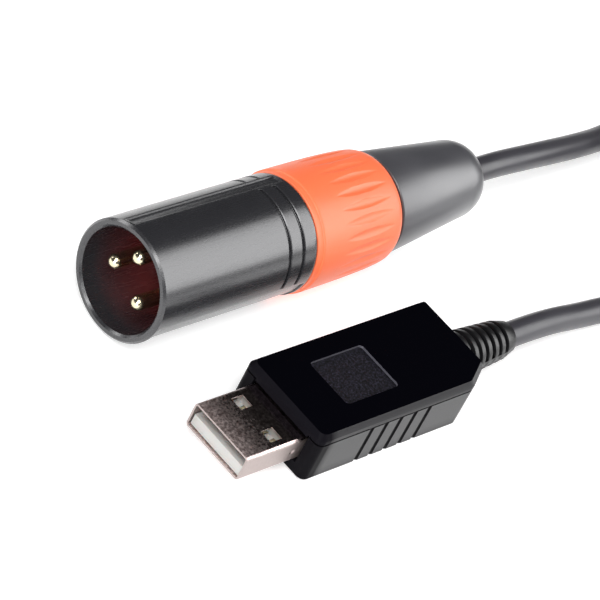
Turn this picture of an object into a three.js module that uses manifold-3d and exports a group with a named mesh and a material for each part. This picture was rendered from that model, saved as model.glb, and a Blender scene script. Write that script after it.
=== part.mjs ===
// A lighting-control lead, in millimetres, +Z up. A USB plug with its converter board in a small
// snap-together case is at one end of a round cable, and a three-pin male XLR plug is at the other.
// Both plugs lie on one surface, side by side, and point along -X. Their leads run off along +X into
// a neat tied coil. The origin is the middle of the two plugs' footprint, on that surface.
import * as THREE from "three";
import { mergeVertices } from "three/addons/utils/BufferGeometryUtils.js";
import Module from "manifold-3d";

const wasm = await Module();
wasm.setup();

// Clearances
const gap = 0.3; // between pieces that touch, slide or turn on each other
const fineGap = 0.15; // between moulded plastic and the metal that it holds
const coneGap = 0.4; // across the boot's cone, from the chuck
const overrun = 1.0; // how far a cutter runs past what it cuts

// Layout of the two plugs
const plugSpacing = 28.2; // from one plug's axis to the other's, along Y
const tipLead = 1.75; // the USB plug's tip lies this far ahead of the XLR plug's mouth
const xlrRoll = THREE.MathUtils.degToRad(49); // the XLR plug lies rolled over about its axis

// Cable
const cableDiameter = 4.2;
const wireDiameter = 1.1;
const wireSpread = 2.4; // across the ring of wires at the jacket's end
const jacketBare = 3.4; // jacket that shows inside the case
const routeShares = [0, 0.25, 0.5, 0.75, 1]; // where a wire's points lie along it

// XLR shell
const shellDiameter = 19.0;
const mouthWall = 1.3;
const mouthDepth = 15.5;
const mouthChamfer = 0.35;
const shellLength = 32.2;
const lipLength = 1.8;
const lipStep = 1.6; // from the mouth's wall in to the lip's bore
const spigotStep = 1.45; // from the barrel's outside in to the spigot's
const spigotWall = 0.85;
const spigotSetback = 2.0; // from the spigot's end to the pocket in the ring
const topStripAngle = THREE.MathUtils.degToRad(13); // width of the narrow strip on top
const topStripTurn = THREE.MathUtils.degToRad(27); // from the plug's own top to its middle
const lowStripAngle = THREE.MathUtils.degToRad(63); // width of the broad strip underneath
const stripDepth = 0.25;
const stripSetback = 0.9;
const grooveWidth = 0.8;
const grooveDepth = 0.45;
const grooveSetbacks = [2.8, 5.7]; // from the shell's rear shoulder to each groove's middle

// XLR insert and pins
const insertRecess = 14.8;
const flangeLength = 6.4;
const insertEdge = 0.5;
const pinDiameter = 2.4;
const pinInset = 2.45; // from the nose's outside in to the circle of pins
const pinRecess = 1.6;
const pinAngles = [45, -45, 180].map(THREE.MathUtils.degToRad); // from the plug's top
const cupDepth = 2.8;
const cupWall = 0.35;
const pinHoleGap = 0.2;

// Cable chuck
const chuckWall = 1.3;
const chuckThroatLength = 3.0;
const chuckConeLength = 6.2;
const chuckConeStep = 0.3; // from the chuck's collar in to its cone
const chuckTipWall = 1.0;
const chuckSlotWidth = 1.0;
const chuckJacketReach = 1.6; // jacket that stands inside the chuck's wide bore
const cupWireLength = 4.55; // bare wires from the solder cups to the jacket's end

// Screw ring
const ringLength = 19.6;
const collarWidth = 1.1; // narrow collar in front of the ring's step
const collarStep = 0.2;
const collarProud = 0.05; // from the barrel's outside out to the collar's
const waistProud = 0.3; // from the barrel's outside out to the ring behind its step
const ringTaper = 0.7; // from there in to the ring's rear edge
const ringEdge = 0.5;
const ringLipLength = 3.4;
const fluteCount = 26;
const fluteLength = 11.2;
const fluteWidth = 1.2;
const fluteDepth = 0.3;
const fluteSetback = 2.2; // from the ring's rear face to the flutes

// Boot
const bootLength = 24.4;
const bootStep = 0.6; // from the ring's rear edge in to the boot
const bootTaper = 2.0; // from the boot's front in to its rear
const bootEndRound = 5.0;
const bootMouthWall = 0.9;
const bootFrontEdge = 0.4;
const bootFlangeStep = 1.25; // from the ring's bore in to the boot's flange
const bootFlangeLength = 2.4;
const bootNeckStep = 0.8; // from the flange in to the neck behind it

// USB case
const caseLength = 38.8;
const caseWidth = 17.4;
const caseHeight = 9.2;
const caseWall = 1.2;
const cornerCutLength = 5.0; // the cut-off rear corner, along the case
const cornerCutWidth = 2.9;
const frontCornerRadius = 1.2;
const smallCornerRadius = 0.4;
const seamDrop = 1.6; // from the top face down to the joint of the two halves
const topBevelWidth = 0.6;
const topBevelHeight = 0.9;
const footBevel = 0.4;
const snapLipHeight = 0.9;
const snapLipWall = 0.7;
const recessLength = 11.4;
const recessWidth = 9.0;
const recessDepth = 0.4;
const recessRadius = 0.7;
const recessSetback = 9.0; // from the case's front face
const gripCount = 5;
const gripPitch = 3.2;
const gripSetback = 11.6;
const gripRadius = 0.55;
const gripDepth = 0.45;
const railWidth = 1.0;
const railInset = 1.2;
const padLength = 4.6;
const padSetback = 1.5;

// USB plug
const plugWidth = 12.0;
const plugHeight = 4.5;
const plugReach = 12.0; // in front of the case
const plugRoot = 6.8; // inside the case
const plugSheet = 0.32;
const plugCornerRadius = 0.6;
const windowSize = 2.3;
const windowSetback = 7.1;
const windowSpacing = 6.9;
const dimpleDiameter = 1.2;
const dimpleDepth = 0.12;
const dimpleSetback = 1.3;
const tongueSetback = 0.4;
const tongueThickness = 1.9;
const tongueLength = 8.6;
const blockSetback = 0.3;
const contactWidth = 1.0;
const contactSheet = 0.25;
const contactSetback = 2.0;
const contactTail = 1.8;
const contactProud = 0.05;
const contactPlaces = [-3.5, -1.0, 1.0, 3.5];

// Circuit board and what it carries
const boardThickness = 1.0;
const wireRoom = 1.7; // between the board's rear edge and the jacket's end
const boardEdge = 0.3; // from the board's long edges to the case walls
const chipStand = 0.15;
const legWidth = 0.3;
const legSheet = 0.2;
const legReach = 0.9;
const serialChipLength = 7.2;
const serialChipWidth = 5.3;
const serialChipHeight = 1.7;
const serialChipLegs = 10;
const serialChipShare = 0.326; // where its middle lies along the board
const transceiverLength = 4.9;
const transceiverWidth = 3.9;
const transceiverHeight = 1.5;
const transceiverLegs = 4;
const transceiverShare = 0.732;
const chipLength = 2.0; // resistors and capacitors
const chipWidth = 1.25;
const resistorHeight = 0.7;
const chipCap = 0.4;
const chipCapProud = 0.05;
const capacitorInset = 2.2;
const capacitorHeight = 0.9;
const resistorCount = 2;
const resistorGap = 0.6;
const wirePitch = 3.2; // between the wires' places on the board
const wireLanding = 1.5; // how far they reach over the board

// Strain relief
const reliefFlangeLength = 1.5;
const reliefNeckDiameter = 5.2;
const reliefFrontDiameter = 7.8;
const reliefRibDiameter = 6.4;
const reliefEndDiameter = 5.2;
const reliefCollarLength = 2.4;
const reliefCore = 5.0;
const reliefPitch = 1.7;
const reliefRib = 0.8;
const reliefRibCount = 6;
const reliefWeb = 1.2;

// Coil and its tie
const coilCentreX = 118;
const coilCentreY = -9.2;
const coilMeanDiameter = 44.2;
const coilTurns = 11.5;
const coilLayers = 4;
const coilSpacing = 0.55; // air between neighbouring turns
const coilSteps = 24; // straight steps in each turn
const coilSides = 6;
const climbShare = 0.5; // share of a turn that a climb takes
const tieWidth = 4.0;
const tieSheet = 0.6;
const tieTurn = 0.25; // from the coil's start round to its +X side

// Facets
const roundSteps = 48;
const smallSteps = 24;
const pinSteps = 16;
const wireSides = 8;
const leadSides = 8;
const wireSteps = 8;
const cornerSteps = 4;
const sectorSteps = 12;
const noseSteps = 4;
const archSteps = 5;
const weldDistance = 1e-4;

// Diameters and places that follow from the sizes
const mouthDiameter = shellDiameter - 2 * mouthWall;
const lipBore = mouthDiameter - 2 * lipStep;
const noseDiameter = lipBore - 2 * gap;
const pinCircle = noseDiameter - 2 * pinInset;
const spigotDiameter = shellDiameter - 2 * spigotStep;
const spigotBore = spigotDiameter - 2 * spigotWall;
const flangeDiameter = spigotBore - 2 * gap;
const cableBore = cableDiameter + 2 * gap;
const chuckBore = flangeDiameter - 2 * chuckWall;
const chuckConeDiameter = flangeDiameter - 2 * chuckConeStep;
const chuckTipDiameter = cableBore + 2 * chuckTipWall;
const ringBore = spigotDiameter + 2 * gap;
const ringFrontDiameter = shellDiameter + 2 * collarProud;
const ringWaistDiameter = shellDiameter + 2 * waistProud;
const ringRearDiameter = ringWaistDiameter - 2 * ringTaper;
const bootFlangeDiameter = ringBore - 2 * bootFlangeStep;
const bootNeckDiameter = bootFlangeDiameter - 2 * bootNeckStep;
const bootFrontDiameter = ringRearDiameter - 2 * bootStep;
const bootRearDiameter = bootFrontDiameter - 2 * bootTaper;
const bootMouthDiameter = cableBore + 2 * bootMouthWall;
const xlrLength = shellLength + gap + ringLength + gap + bootLength;
const footprintLength = tipLead + xlrLength;
const tipX = -footprintLength / 2;
const mouthX = tipX + tipLead;
const caseX = tipX + plugReach;
const caseY = (caseWidth / 2 - plugSpacing - ringWaistDiameter / 2) / 2;
const xlrY = caseY + plugSpacing;
const axisZ = ringWaistDiameter / 2;
const plugZ = caseHeight / 2;
const seamZ = caseHeight - seamDrop;
const ringFront = shellLength + gap;
const ringEnd = ringFront + ringLength;
const ringWaist = ringFront + collarWidth + collarStep;
const lipFront = ringEnd - ringLipLength;
const pocketFront = lipFront - gap - bootFlangeLength - gap;
const spigotEnd = pocketFront - spigotSetback;
const flangeFront = mouthDepth + lipLength + gap;
const insertEnd = flangeFront + flangeLength;
const chuckFront = insertEnd + gap;
const chuckEnd = spigotEnd + gap + chuckConeLength;
const cupEnd = insertEnd + gap + cupDepth + cupWall;
const xlrJacketStart = cupEnd + gap + cupWireLength + gap;
const chuckThroat = xlrJacketStart + chuckJacketReach;
const bootFront = ringEnd + gap;
const bootEnd = bootFront + bootLength;
const reliefLength = reliefPitch * reliefRibCount + reliefCollarLength;
const reliefFlangeDiameter = caseHeight - 2 * caseWall - 2 * gap;
const tongueTop = plugZ - plugHeight / 2 + plugSheet + fineGap + tongueThickness;
const contactTop = tongueTop + contactProud;
const boardTop = contactTop - contactSheet - gap;
const reliefX = caseX + caseLength;
const reliefFlangeEnd = reliefX - caseWall - gap;
const reliefFlangeFace = reliefFlangeEnd - reliefFlangeLength;
const usbJacketEnd = reliefFlangeFace - gap;
const usbJacketStart = usbJacketEnd - jacketBare;
const boardX = caseX + plugRoot + gap;
const boardLength = usbJacketStart - wireRoom - boardX;
const boardWidth = caseWidth - 2 * caseWall - 2 * boardEdge;

// The free cable's two leads, from plug to coil. Points chosen by hand.
const xlrLeadPoints = [
  [14.9, 13.55, 9.8],
  [24.0, 13.55, 9.8],
  [33.0, 13.55, 9.8],
  [40.0, 13.55, 9.8],
  [47.0, 13.55, 9.7],
  [54.0, 13.6, 9.1],
  [62.0, 13.9, 8.0],
  [70.0, 14.5, 6.6],
  [78.0, 15.5, 5.0],
  [86.0, 16.8, 3.8],
  [94.0, 18.1, 3.2],
  [102.0, 19.1, 3.0],
  [108.0, 19.6, 3.0],
  [113.5, 19.73, 3.0],
];
const usbLeadPoints = [
  [24.45, -14.65, 4.6],
  [30.0, -14.65, 4.6],
  [36.0, -14.65, 4.2],
  [43.0, -14.65, 3.1],
  [50.0, -14.8, 2.3],
  [57.0, -15.5, 2.1],
  [64.0, -17.4, 2.1],
  [71.0, -20.7, 2.4],
  [78.0, -25.0, 3.8],
  [85.0, -29.5, 6.5],
  [92.0, -33.5, 10.0],
  [99.0, -36.5, 13.6],
  [106.0, -38.0, 16.4],
  [113.5, -38.13, 17.25],
];

// Solids
function solidOf(geometry) {
  const bare = new THREE.BufferGeometry();
  bare.setAttribute("position", geometry.getAttribute("position"));
  bare.setIndex(geometry.index);
  const merged = mergeVertices(bare, weldDistance);
  const corners = merged.index.array;
  const kept = [];
  for (let i = 0; i < corners.length; i += 3) {
    const [a, b, c] = corners.subarray(i, i + 3);
    if (a !== b && b !== c && a !== c) kept.push(a, b, c);
  }
  const mesh = new wasm.Mesh({
    numProp: 3,
    vertProperties: merged.getAttribute("position").array,
    triVerts: new Uint32Array(kept),
  });
  return new wasm.Manifold(mesh);
}

function geometryOf(solid) {
  const mesh = solid.getMesh();
  const geometry = new THREE.BufferGeometry();
  geometry.setAttribute("position", new THREE.BufferAttribute(mesh.vertProperties, 3));
  geometry.setIndex(new THREE.BufferAttribute(mesh.triVerts, 1));
  const flat = geometry.toNonIndexed();
  flat.computeVertexNormals();
  return flat;
}

// A solid turned about the X axis. The profile is a list of [place along X, radius], either way
// round: it starts and ends on the axis, or closes on itself.
function turned(profile, steps = roundSteps) {
  const points = profile.map(([x, radius]) => new THREE.Vector2(radius, x));
  if (THREE.ShapeUtils.area(points) < 0) points.reverse();
  const onAxis = points[0].x === 0 && points.at(-1).x === 0;
  if (!onAxis) points.push(points[0].clone());
  const geometry = new THREE.LatheGeometry(points, steps);
  geometry.rotateZ(-Math.PI / 2);
  return solidOf(geometry);
}

function rod(x0, x1, diameter, steps = smallSteps) {
  const radius = diameter / 2;
  return turned([[x0, 0], [x0, radius], [x1, radius], [x1, 0]], steps);
}

function box(x0, x1, y0, y1, z0, z1) {
  const geometry = new THREE.BoxGeometry(x1 - x0, y1 - y0, z1 - z0);
  geometry.translate((x0 + x1) / 2, (y0 + y1) / 2, (z0 + z1) / 2);
  return solidOf(geometry);
}

// A tube of even section along a smooth curve through the points.
function tube(points, diameter, sides, steps) {
  const curve = new THREE.CatmullRomCurve3(points.map((p) => new THREE.Vector3(...p)));
  const section = new THREE.Shape();
  for (let i = 0; i < sides; i++) {
    const angle = (i / sides) * 2 * Math.PI;
    const x = (diameter / 2) * Math.cos(angle);
    const y = (diameter / 2) * Math.sin(angle);
    if (i === 0) section.moveTo(x, y);
    else section.lineTo(x, y);
  }
  const options = { steps, extrudePath: curve, bevelEnabled: false };
  return solidOf(new THREE.ExtrudeGeometry(section, options));
}

// A polygon with rounded corners, as a list of points.
function roundedPolygon(corners, radii) {
  const points = [];
  corners.forEach((corner, i) => {
    const before = corners.at(i - 1);
    const after = corners[(i + 1) % corners.length];
    const start = corner.clone().add(before.clone().sub(corner).setLength(radii[i]));
    const end = corner.clone().add(after.clone().sub(corner).setLength(radii[i]));
    const arc = new THREE.QuadraticBezierCurve(start, corner, end);
    points.push(...arc.getPoints(cornerSteps));
  });
  return points;
}

function roundedRectangle(x0, x1, y0, y1, radius) {
  const corners = [[x0, y0], [x1, y0], [x1, y1], [x0, y1]].map((c) => new THREE.Vector2(...c));
  return roundedPolygon(corners, corners.map(() => radius));
}

// A closed solid through outlines of equal point count at rising heights.
function stacked(layers) {
  const count = layers[0].outline.length;
  const position = layers.flatMap(({ outline, z }) => outline.flatMap((p) => [p.x, p.y, z]));
  const index = [];
  const cap = THREE.ShapeUtils.triangulateShape(layers[0].outline, []);
  const top = (layers.length - 1) * count;
  cap.forEach(([a, b, c]) => index.push(a, c, b, top + a, top + b, top + c));
  for (let k = 0; k < layers.length - 1; k++) {
    for (let i = 0; i < count; i++) {
      const a = k * count + i;
      const b = k * count + ((i + 1) % count);
      index.push(a, b, b + count, a, b + count, a + count);
    }
  }
  const geometry = new THREE.BufferGeometry();
  geometry.setAttribute("position", new THREE.Float32BufferAttribute(position, 3));
  geometry.setIndex(index);
  return solidOf(geometry);
}

function prism(outline, z0, z1) {
  return stacked([{ outline, z: z0 }, { outline, z: z1 }]);
}

// A bar along X whose section is an outline of [Y, Z] points.
function bar(outline, x0, x1) {
  const geometry = geometryOf(prism(outline, x0, x1));
  const sideways = new THREE.Vector3(0, 1, 0);
  const upwards = new THREE.Vector3(0, 0, 1);
  const along = new THREE.Vector3(1, 0, 0);
  geometry.applyMatrix4(new THREE.Matrix4().makeBasis(sideways, upwards, along));
  return solidOf(geometry);
}

// The part of a ring round X between two radii, over an angle centred on a direction from +Z.
function ringSector(x0, x1, inner, outer, centre, spread) {
  const outline = [];
  const push = (radius, share) => {
    const angle = centre + spread * (share - 0.5);
    outline.push(new THREE.Vector2(-radius * Math.sin(angle), radius * Math.cos(angle)));
  };
  for (let i = 0; i <= sectorSteps; i++) push(outer, i / sectorSteps);
  for (let i = sectorSteps; i >= 0; i--) push(inner, i / sectorSteps);
  return bar(outline, x0, x1);
}

// Materials
function finish(color, roughness, metalness = 0) {
  return new THREE.MeshStandardMaterial({ color, roughness, metalness });
}
const blackMetal = finish("#2b2c2f", 0.35, 0.8);
const orangePlastic = finish("#f9703a", 0.5);
const blackRubber = finish("#3a3a3c", 0.7);
const cableJacket = finish("#4a4a4e", 0.55);
const glossBlack = finish("#08080c", 0.08);
const satinBlack = finish("#2a292d", 0.4);
const nickel = finish("#b8aea6", 0.25, 1);
const whitePlastic = finish("#e4e0d8", 0.45);
const maroonPlastic = finish("#3a1c1e", 0.5);
const goldPlate = finish("#e3cf9a", 0.25, 1);
const boardGreen = finish("#1d5a36", 0.5);
const chipBlack = finish("#1c1c1e", 0.6);
const chipBuff = finish("#b59a72", 0.5);
const chuckGrey = finish("#8b8b88", 0.6);
const wireColours = ["#b3262a", "#e6e6e2", "#5a5a5c"].map((color) => finish(color, 0.5));

const object = new THREE.Group();
const xlr = new THREE.Group();
xlr.position.set(mouthX, xlrY, axisZ);
xlr.rotation.x = -xlrRoll;
const usb = new THREE.Group();
usb.position.set(0, caseY, 0);
const cord = new THREE.Group();
object.add(xlr, usb, cord);

function addPiece(group, name, solid, material) {
  const mesh = new THREE.Mesh(geometryOf(solid), material);
  mesh.name = name;
  group.add(mesh);
}

// XLR shell: a turned barrel with a mating mouth, an inner lip that stops the insert and a rear
// spigot for the screw ring. Two smooth strips run along it and interrupt its two grooves.
function xlrShell() {
  const barrel = turned([
    [mouthChamfer, shellDiameter / 2],
    [0, shellDiameter / 2 - mouthChamfer],
    [0, mouthDiameter / 2 + mouthChamfer],
    [mouthChamfer, mouthDiameter / 2],
    [mouthDepth, mouthDiameter / 2],
    [mouthDepth, lipBore / 2],
    [mouthDepth + lipLength, lipBore / 2],
    [mouthDepth + lipLength, spigotBore / 2],
    [spigotEnd, spigotBore / 2],
    [spigotEnd, spigotDiameter / 2],
    [shellLength, spigotDiameter / 2],
    [shellLength, shellDiameter / 2],
  ]);
  const outside = shellDiameter / 2 + overrun;
  const stripBottom = shellDiameter / 2 - stripDepth;
  const grooveBottom = shellDiameter / 2 - grooveDepth;
  const strips = [[topStripTurn, topStripAngle], [Math.PI, lowStripAngle]];
  const turns = [
    topStripTurn + topStripAngle / 2,
    Math.PI - lowStripAngle / 2,
    Math.PI + lowStripAngle / 2,
    2 * Math.PI + topStripTurn - topStripAngle / 2,
  ];
  let shell = barrel;
  for (const [middle, angle] of strips) {
    shell = shell.subtract(
      ringSector(stripSetback, shellLength + overrun, stripBottom, outside, middle, angle),
    );
  }
  for (const setback of grooveSetbacks) {
    const x0 = shellLength - setback - grooveWidth / 2;
    for (const [start, end] of [turns.slice(0, 2), turns.slice(2)]) {
      const middle = (start + end) / 2;
      shell = shell.subtract(
        ringSector(x0, x0 + grooveWidth, grooveBottom, outside, middle, end - start),
      );
    }
  }
  return shell;
}

function pinPlace(angle) {
  return new THREE.Vector2(-Math.sin(angle), Math.cos(angle)).multiplyScalar(pinCircle / 2);
}

// Insert: nose, flange and three through holes for the pins
function xlrInsert() {
  const nose = noseDiameter / 2;
  const flange = flangeDiameter / 2;
  let insert = turned([
    [insertRecess, 0],
    [insertRecess, nose - insertEdge],
    [insertRecess + insertEdge, nose],
    [flangeFront, nose],
    [flangeFront, flange],
    [insertEnd, flange],
    [insertEnd, 0],
  ], roundSteps / 2);
  for (const angle of pinAngles) {
    const place = pinPlace(angle);
    const hole = rod(insertRecess - overrun, insertEnd + overrun, pinDiameter + 2 * pinHoleGap);
    insert = insert.subtract(hole.translate(0, place.x, place.y));
  }
  return insert;
}

// Pin: round nose in front, half-open solder cup behind
function contactPin(angle) {
  const radius = pinDiameter / 2;
  const profile = [[pinRecess, 0]];
  for (let i = 1; i <= noseSteps; i++) {
    const turn = (i / noseSteps) * (Math.PI / 2);
    profile.push([pinRecess + radius * (1 - Math.cos(turn)), radius * Math.sin(turn)]);
  }
  const cupFloor = cupEnd - cupDepth;
  profile.push([cupEnd, radius], [cupEnd, radius - cupWall]);
  profile.push([cupFloor, radius - cupWall], [cupFloor, 0]);
  const opening = box(cupFloor, cupEnd + overrun, -pinDiameter, pinDiameter, 0, pinDiameter);
  const place = pinPlace(angle);
  return turned(profile, pinSteps).subtract(opening).translate(0, place.x, place.y);
}

// Chuck: a collar round the wires that narrows to grip the jacket, its rear split in four fingers
function chuckRadius(x) {
  const share = (x - (chuckEnd - chuckConeLength)) / chuckConeLength;
  return (chuckConeDiameter + (chuckTipDiameter - chuckConeDiameter) * share) / 2;
}

function cableChuck() {
  const collar = flangeDiameter / 2;
  const throatEnd = chuckThroat + chuckThroatLength;
  let chuck = turned([
    [chuckFront, chuckBore / 2],
    [chuckThroat, chuckBore / 2],
    [throatEnd, cableBore / 2],
    [chuckEnd, cableBore / 2],
    [chuckEnd, chuckTipDiameter / 2],
    [chuckEnd - chuckConeLength, chuckConeDiameter / 2],
    [spigotEnd - gap, collar],
    [chuckFront, collar],
  ], roundSteps / 2);
  const half = chuckSlotWidth / 2;
  const reach = flangeDiameter;
  const slots = [
    box(throatEnd, chuckEnd + overrun, -half, half, -reach, reach),
    box(throatEnd, chuckEnd + overrun, -reach, reach, -half, half),
  ];
  slots.forEach((slot) => {
    chuck = chuck.subtract(slot);
  });
  return chuck;
}

// The screw ring's outside radius behind its collar, an arch that falls towards the rear
function ringRadius(x) {
  const share = (ringEnd - ringEdge - x) / (ringEnd - ringEdge - ringWaist);
  const swell = Math.sqrt(1 - (1 - share) ** 2);
  return (ringRearDiameter + (ringWaistDiameter - ringRearDiameter) * swell) / 2;
}

// Screw ring: collar and step in front, arched body with shallow pointed flutes, and a rear lip
// that is held between the boot's flange and body, so that it turns on the boot
function screwRing() {
  const profile = [[ringFront, ringBore / 2], [pocketFront, ringBore / 2]];
  profile.push([pocketFront, bootFlangeDiameter / 2 + gap]);
  profile.push([lipFront, bootFlangeDiameter / 2 + gap]);
  profile.push([lipFront, bootNeckDiameter / 2 + gap]);
  profile.push([ringEnd, bootNeckDiameter / 2 + gap]);
  profile.push([ringEnd, ringRearDiameter / 2 - ringEdge]);
  profile.push([ringEnd - ringEdge, ringRearDiameter / 2]);
  for (let i = 1; i <= archSteps; i++) {
    const share = 1 - Math.cos(((i / archSteps) * Math.PI) / 2);
    const x = ringEnd - ringEdge + (ringWaist - ringEnd + ringEdge) * share;
    profile.push([x, ringRadius(x)]);
  }
  profile.push([ringFront + collarWidth, ringFrontDiameter / 2]);
  profile.push([ringFront, ringFrontDiameter / 2]);
  let ring = turned(profile);
  const fluteEnd = ringEnd - fluteSetback;
  const frontRadius = ringRadius(fluteEnd - fluteLength);
  const rearRadius = ringRadius(fluteEnd);
  const flute = new THREE.SphereGeometry(1, 8, 6);
  flute.rotateZ(Math.PI / 2);
  flute.scale(fluteLength / 2, fluteWidth / 2, fluteDepth);
  flute.rotateY(Math.atan2(frontRadius - rearRadius, fluteLength));
  flute.translate(fluteEnd - fluteLength / 2, 0, (frontRadius + rearRadius) / 2);
  for (let i = 0; i < fluteCount; i++) {
    const cutter = flute.clone().rotateX((i / fluteCount) * 2 * Math.PI);
    ring = ring.subtract(solidOf(cutter));
  }
  return ring;
}

// Boot: a soft gland whose flange sits inside the ring and whose tail tapers along the cable
function cableBoot() {
  const flangeEnd = lipFront - gap;
  const flangeFrontX = flangeEnd - bootFlangeLength;
  const coneEnd = chuckEnd + gap;
  const tail = bootEnd - bootEndRound;
  const profile = [
    [flangeFrontX, chuckRadius(flangeFrontX) + coneGap],
    [coneEnd, chuckRadius(coneEnd) + coneGap],
    [coneEnd, cableBore / 2],
    [bootEnd, cableBore / 2],
    [bootEnd, bootMouthDiameter / 2],
  ];
  for (let i = 1; i <= archSteps; i++) {
    const turn = (i / archSteps) * (Math.PI / 2);
    const radius =
      bootMouthDiameter / 2 + ((bootRearDiameter - bootMouthDiameter) / 2) * Math.sin(turn);
    profile.push([tail + bootEndRound * Math.cos(turn), radius]);
  }
  profile.push([bootFront + bootFrontEdge, bootFrontDiameter / 2]);
  profile.push([bootFront, bootFrontDiameter / 2 - bootFrontEdge]);
  profile.push([bootFront, bootNeckDiameter / 2]);
  profile.push([flangeEnd, bootNeckDiameter / 2]);
  profile.push([flangeEnd, bootFlangeDiameter / 2]);
  profile.push([flangeFrontX, bootFlangeDiameter / 2]);
  return turned(profile, (roundSteps * 3) / 4);
}

// Wire from a solder cup to the jacket's end
function cupWire(angle) {
  const start = cupEnd + gap;
  const place = pinPlace(angle);
  const near = place.clone().setLength(wireSpread / 2);
  const points = routeShares.map((share) => {
    const ease = THREE.MathUtils.smoothstep(share, 0, 1);
    const across = place.clone().lerp(near, ease);
    return [start + cupWireLength * share, across.x, across.y];
  });
  return tube(points, wireDiameter, wireSides, wireSteps);
}

addPiece(xlr, "xlr_shell", xlrShell(), blackMetal);
addPiece(xlr, "xlr_insert", xlrInsert(), maroonPlastic);
pinAngles.forEach((angle, i) => {
  addPiece(xlr, `xlr_pin_${i + 1}`, contactPin(angle), goldPlate);
  addPiece(xlr, `xlr_wire_${i + 1}`, cupWire(angle), wireColours[i]);
});
addPiece(xlr, "cable_chuck", cableChuck(), chuckGrey);
addPiece(xlr, "screw_ring", screwRing(), orangePlastic);
addPiece(xlr, "boot", cableBoot(), blackRubber);
const jacketEnd = xlrLeadPoints[0][0] - mouthX - gap;
addPiece(xlr, "xlr_cable_end", rod(xlrJacketStart, jacketEnd, cableDiameter), cableJacket);

// The case's outline in plan, its rear corner on the -Y side cut off, drawn in by an inset
function caseOutline(inset) {
  const left = caseX + inset;
  const right = caseX + caseLength - inset;
  const near = -caseWidth / 2 + inset;
  const far = caseWidth / 2 - inset;
  const normal = new THREE.Vector2(-cornerCutWidth, cornerCutLength).normalize();
  const onCut = new THREE.Vector2(caseX + caseLength - cornerCutLength, -caseWidth / 2);
  const level = onCut.dot(normal) + inset;
  const corners = [
    new THREE.Vector2(left, near),
    new THREE.Vector2((level - near * normal.y) / normal.x, near),
    new THREE.Vector2(right, (level - right * normal.x) / normal.y),
    new THREE.Vector2(right, far),
    new THREE.Vector2(left, far),
  ];
  const front = Math.max(frontCornerRadius - inset, smallCornerRadius);
  const small = smallCornerRadius;
  return roundedPolygon(corners, [front, small, small, small, front]);
}

const plugHalfWidth = plugWidth / 2;
const plugTop = plugZ + plugHeight / 2;
const neckHalf = reliefNeckDiameter / 2;

// Lower half: a tray with board rails, a pad under the plug, side grips and open-topped passages
function caseBottom() {
  const top = seamZ - gap;
  let tray = stacked([
    { outline: caseOutline(footBevel), z: 0 },
    { outline: caseOutline(0), z: footBevel },
    { outline: caseOutline(0), z: top },
  ]);
  tray = tray.subtract(prism(caseOutline(caseWall), caseWall, top + overrun));
  const railY = boardWidth / 2 - railInset;
  const railTop = boardTop - boardThickness - gap;
  for (const side of [-1, 1]) {
    const rail = box(
      boardX + railInset, boardX + boardLength - railInset,
      side * railY - railWidth / 2, side * railY + railWidth / 2,
      caseWall / 2, railTop,
    );
    tray = tray.add(rail);
  }
  const padX = caseX + padSetback;
  const padTop = plugZ - plugHeight / 2 - gap;
  const padHalf = plugHalfWidth - railInset;
  tray = tray.add(box(padX, padX + padLength, -padHalf, padHalf, caseWall / 2, padTop));
  const front = caseX - overrun;
  const plugSlot = plugHalfWidth + gap;
  tray = tray.subtract(
    box(front, caseX + caseWall + gap, -plugSlot, plugSlot, padTop, top + overrun),
  );
  const slotHalf = neckHalf + gap;
  const wallFront = reliefX - caseWall - gap;
  const slot = box(wallFront, reliefX + overrun, -slotHalf, slotHalf, plugZ, top + overrun);
  const round = rod(wallFront, reliefX + overrun, 2 * slotHalf).translate(0, 0, plugZ);
  tray = tray.subtract(slot).subtract(round);
  for (const side of [-1, 1]) {
    for (let i = 0; i < gripCount; i++) {
      const grip = new THREE.CylinderGeometry(
        gripRadius, gripRadius, seamZ + 2 * overrun, pinSteps / 2,
      );
      grip.rotateX(Math.PI / 2);
      const y = side * (caseWidth / 2 + gripRadius - gripDepth);
      grip.translate(caseX + gripSetback + i * gripPitch, y, seamZ / 2);
      tray = tray.subtract(solidOf(grip));
    }
  }
  return tray;
}

// Upper half: a bevelled lid with a square recess, a snap lip and a tab over each passage
function caseTop() {
  const lipOutside = caseWall + gap;
  const lipInside = lipOutside + snapLipWall;
  const lipFoot = seamZ - snapLipHeight;
  const ceiling = caseHeight - caseWall;
  let lid = stacked([
    { outline: caseOutline(0), z: seamZ },
    { outline: caseOutline(0), z: caseHeight - topBevelHeight },
    { outline: caseOutline(topBevelWidth), z: caseHeight },
  ]);
  lid = lid.add(prism(caseOutline(lipOutside), lipFoot, seamZ + gap));
  lid = lid.subtract(prism(caseOutline(lipInside), lipFoot - overrun, ceiling));
  const plugSlot = plugHalfWidth + gap;
  const slotTop = plugTop + gap;
  const behind = caseX + plugRoot + overrun;
  lid = lid.subtract(box(caseX - overrun, behind, -plugSlot, plugSlot, 0, slotTop));
  lid = lid.add(
    box(caseX, caseX + caseWall, -plugHalfWidth, plugHalfWidth, slotTop, seamZ + gap),
  );
  lid = lid.add(box(reliefX - caseWall, reliefX, -neckHalf, neckHalf, plugZ, seamZ + gap));
  const neckHole = rod(reliefX - caseWall - overrun, reliefX + overrun, 2 * (neckHalf + gap));
  lid = lid.subtract(neckHole.translate(0, 0, plugZ));
  const flangeBack = reliefX - caseWall;
  const flangeRoom = rod(
    flangeBack - reliefFlangeLength - 2 * gap, flangeBack, reliefFlangeDiameter + 2 * gap,
  );
  lid = lid.subtract(flangeRoom.translate(0, 0, plugZ));
  const recess = roundedRectangle(
    caseX + recessSetback, caseX + recessSetback + recessLength,
    -recessWidth / 2, recessWidth / 2, recessRadius,
  );
  return lid.subtract(prism(recess, caseHeight - recessDepth, caseHeight + overrun));
}

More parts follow.
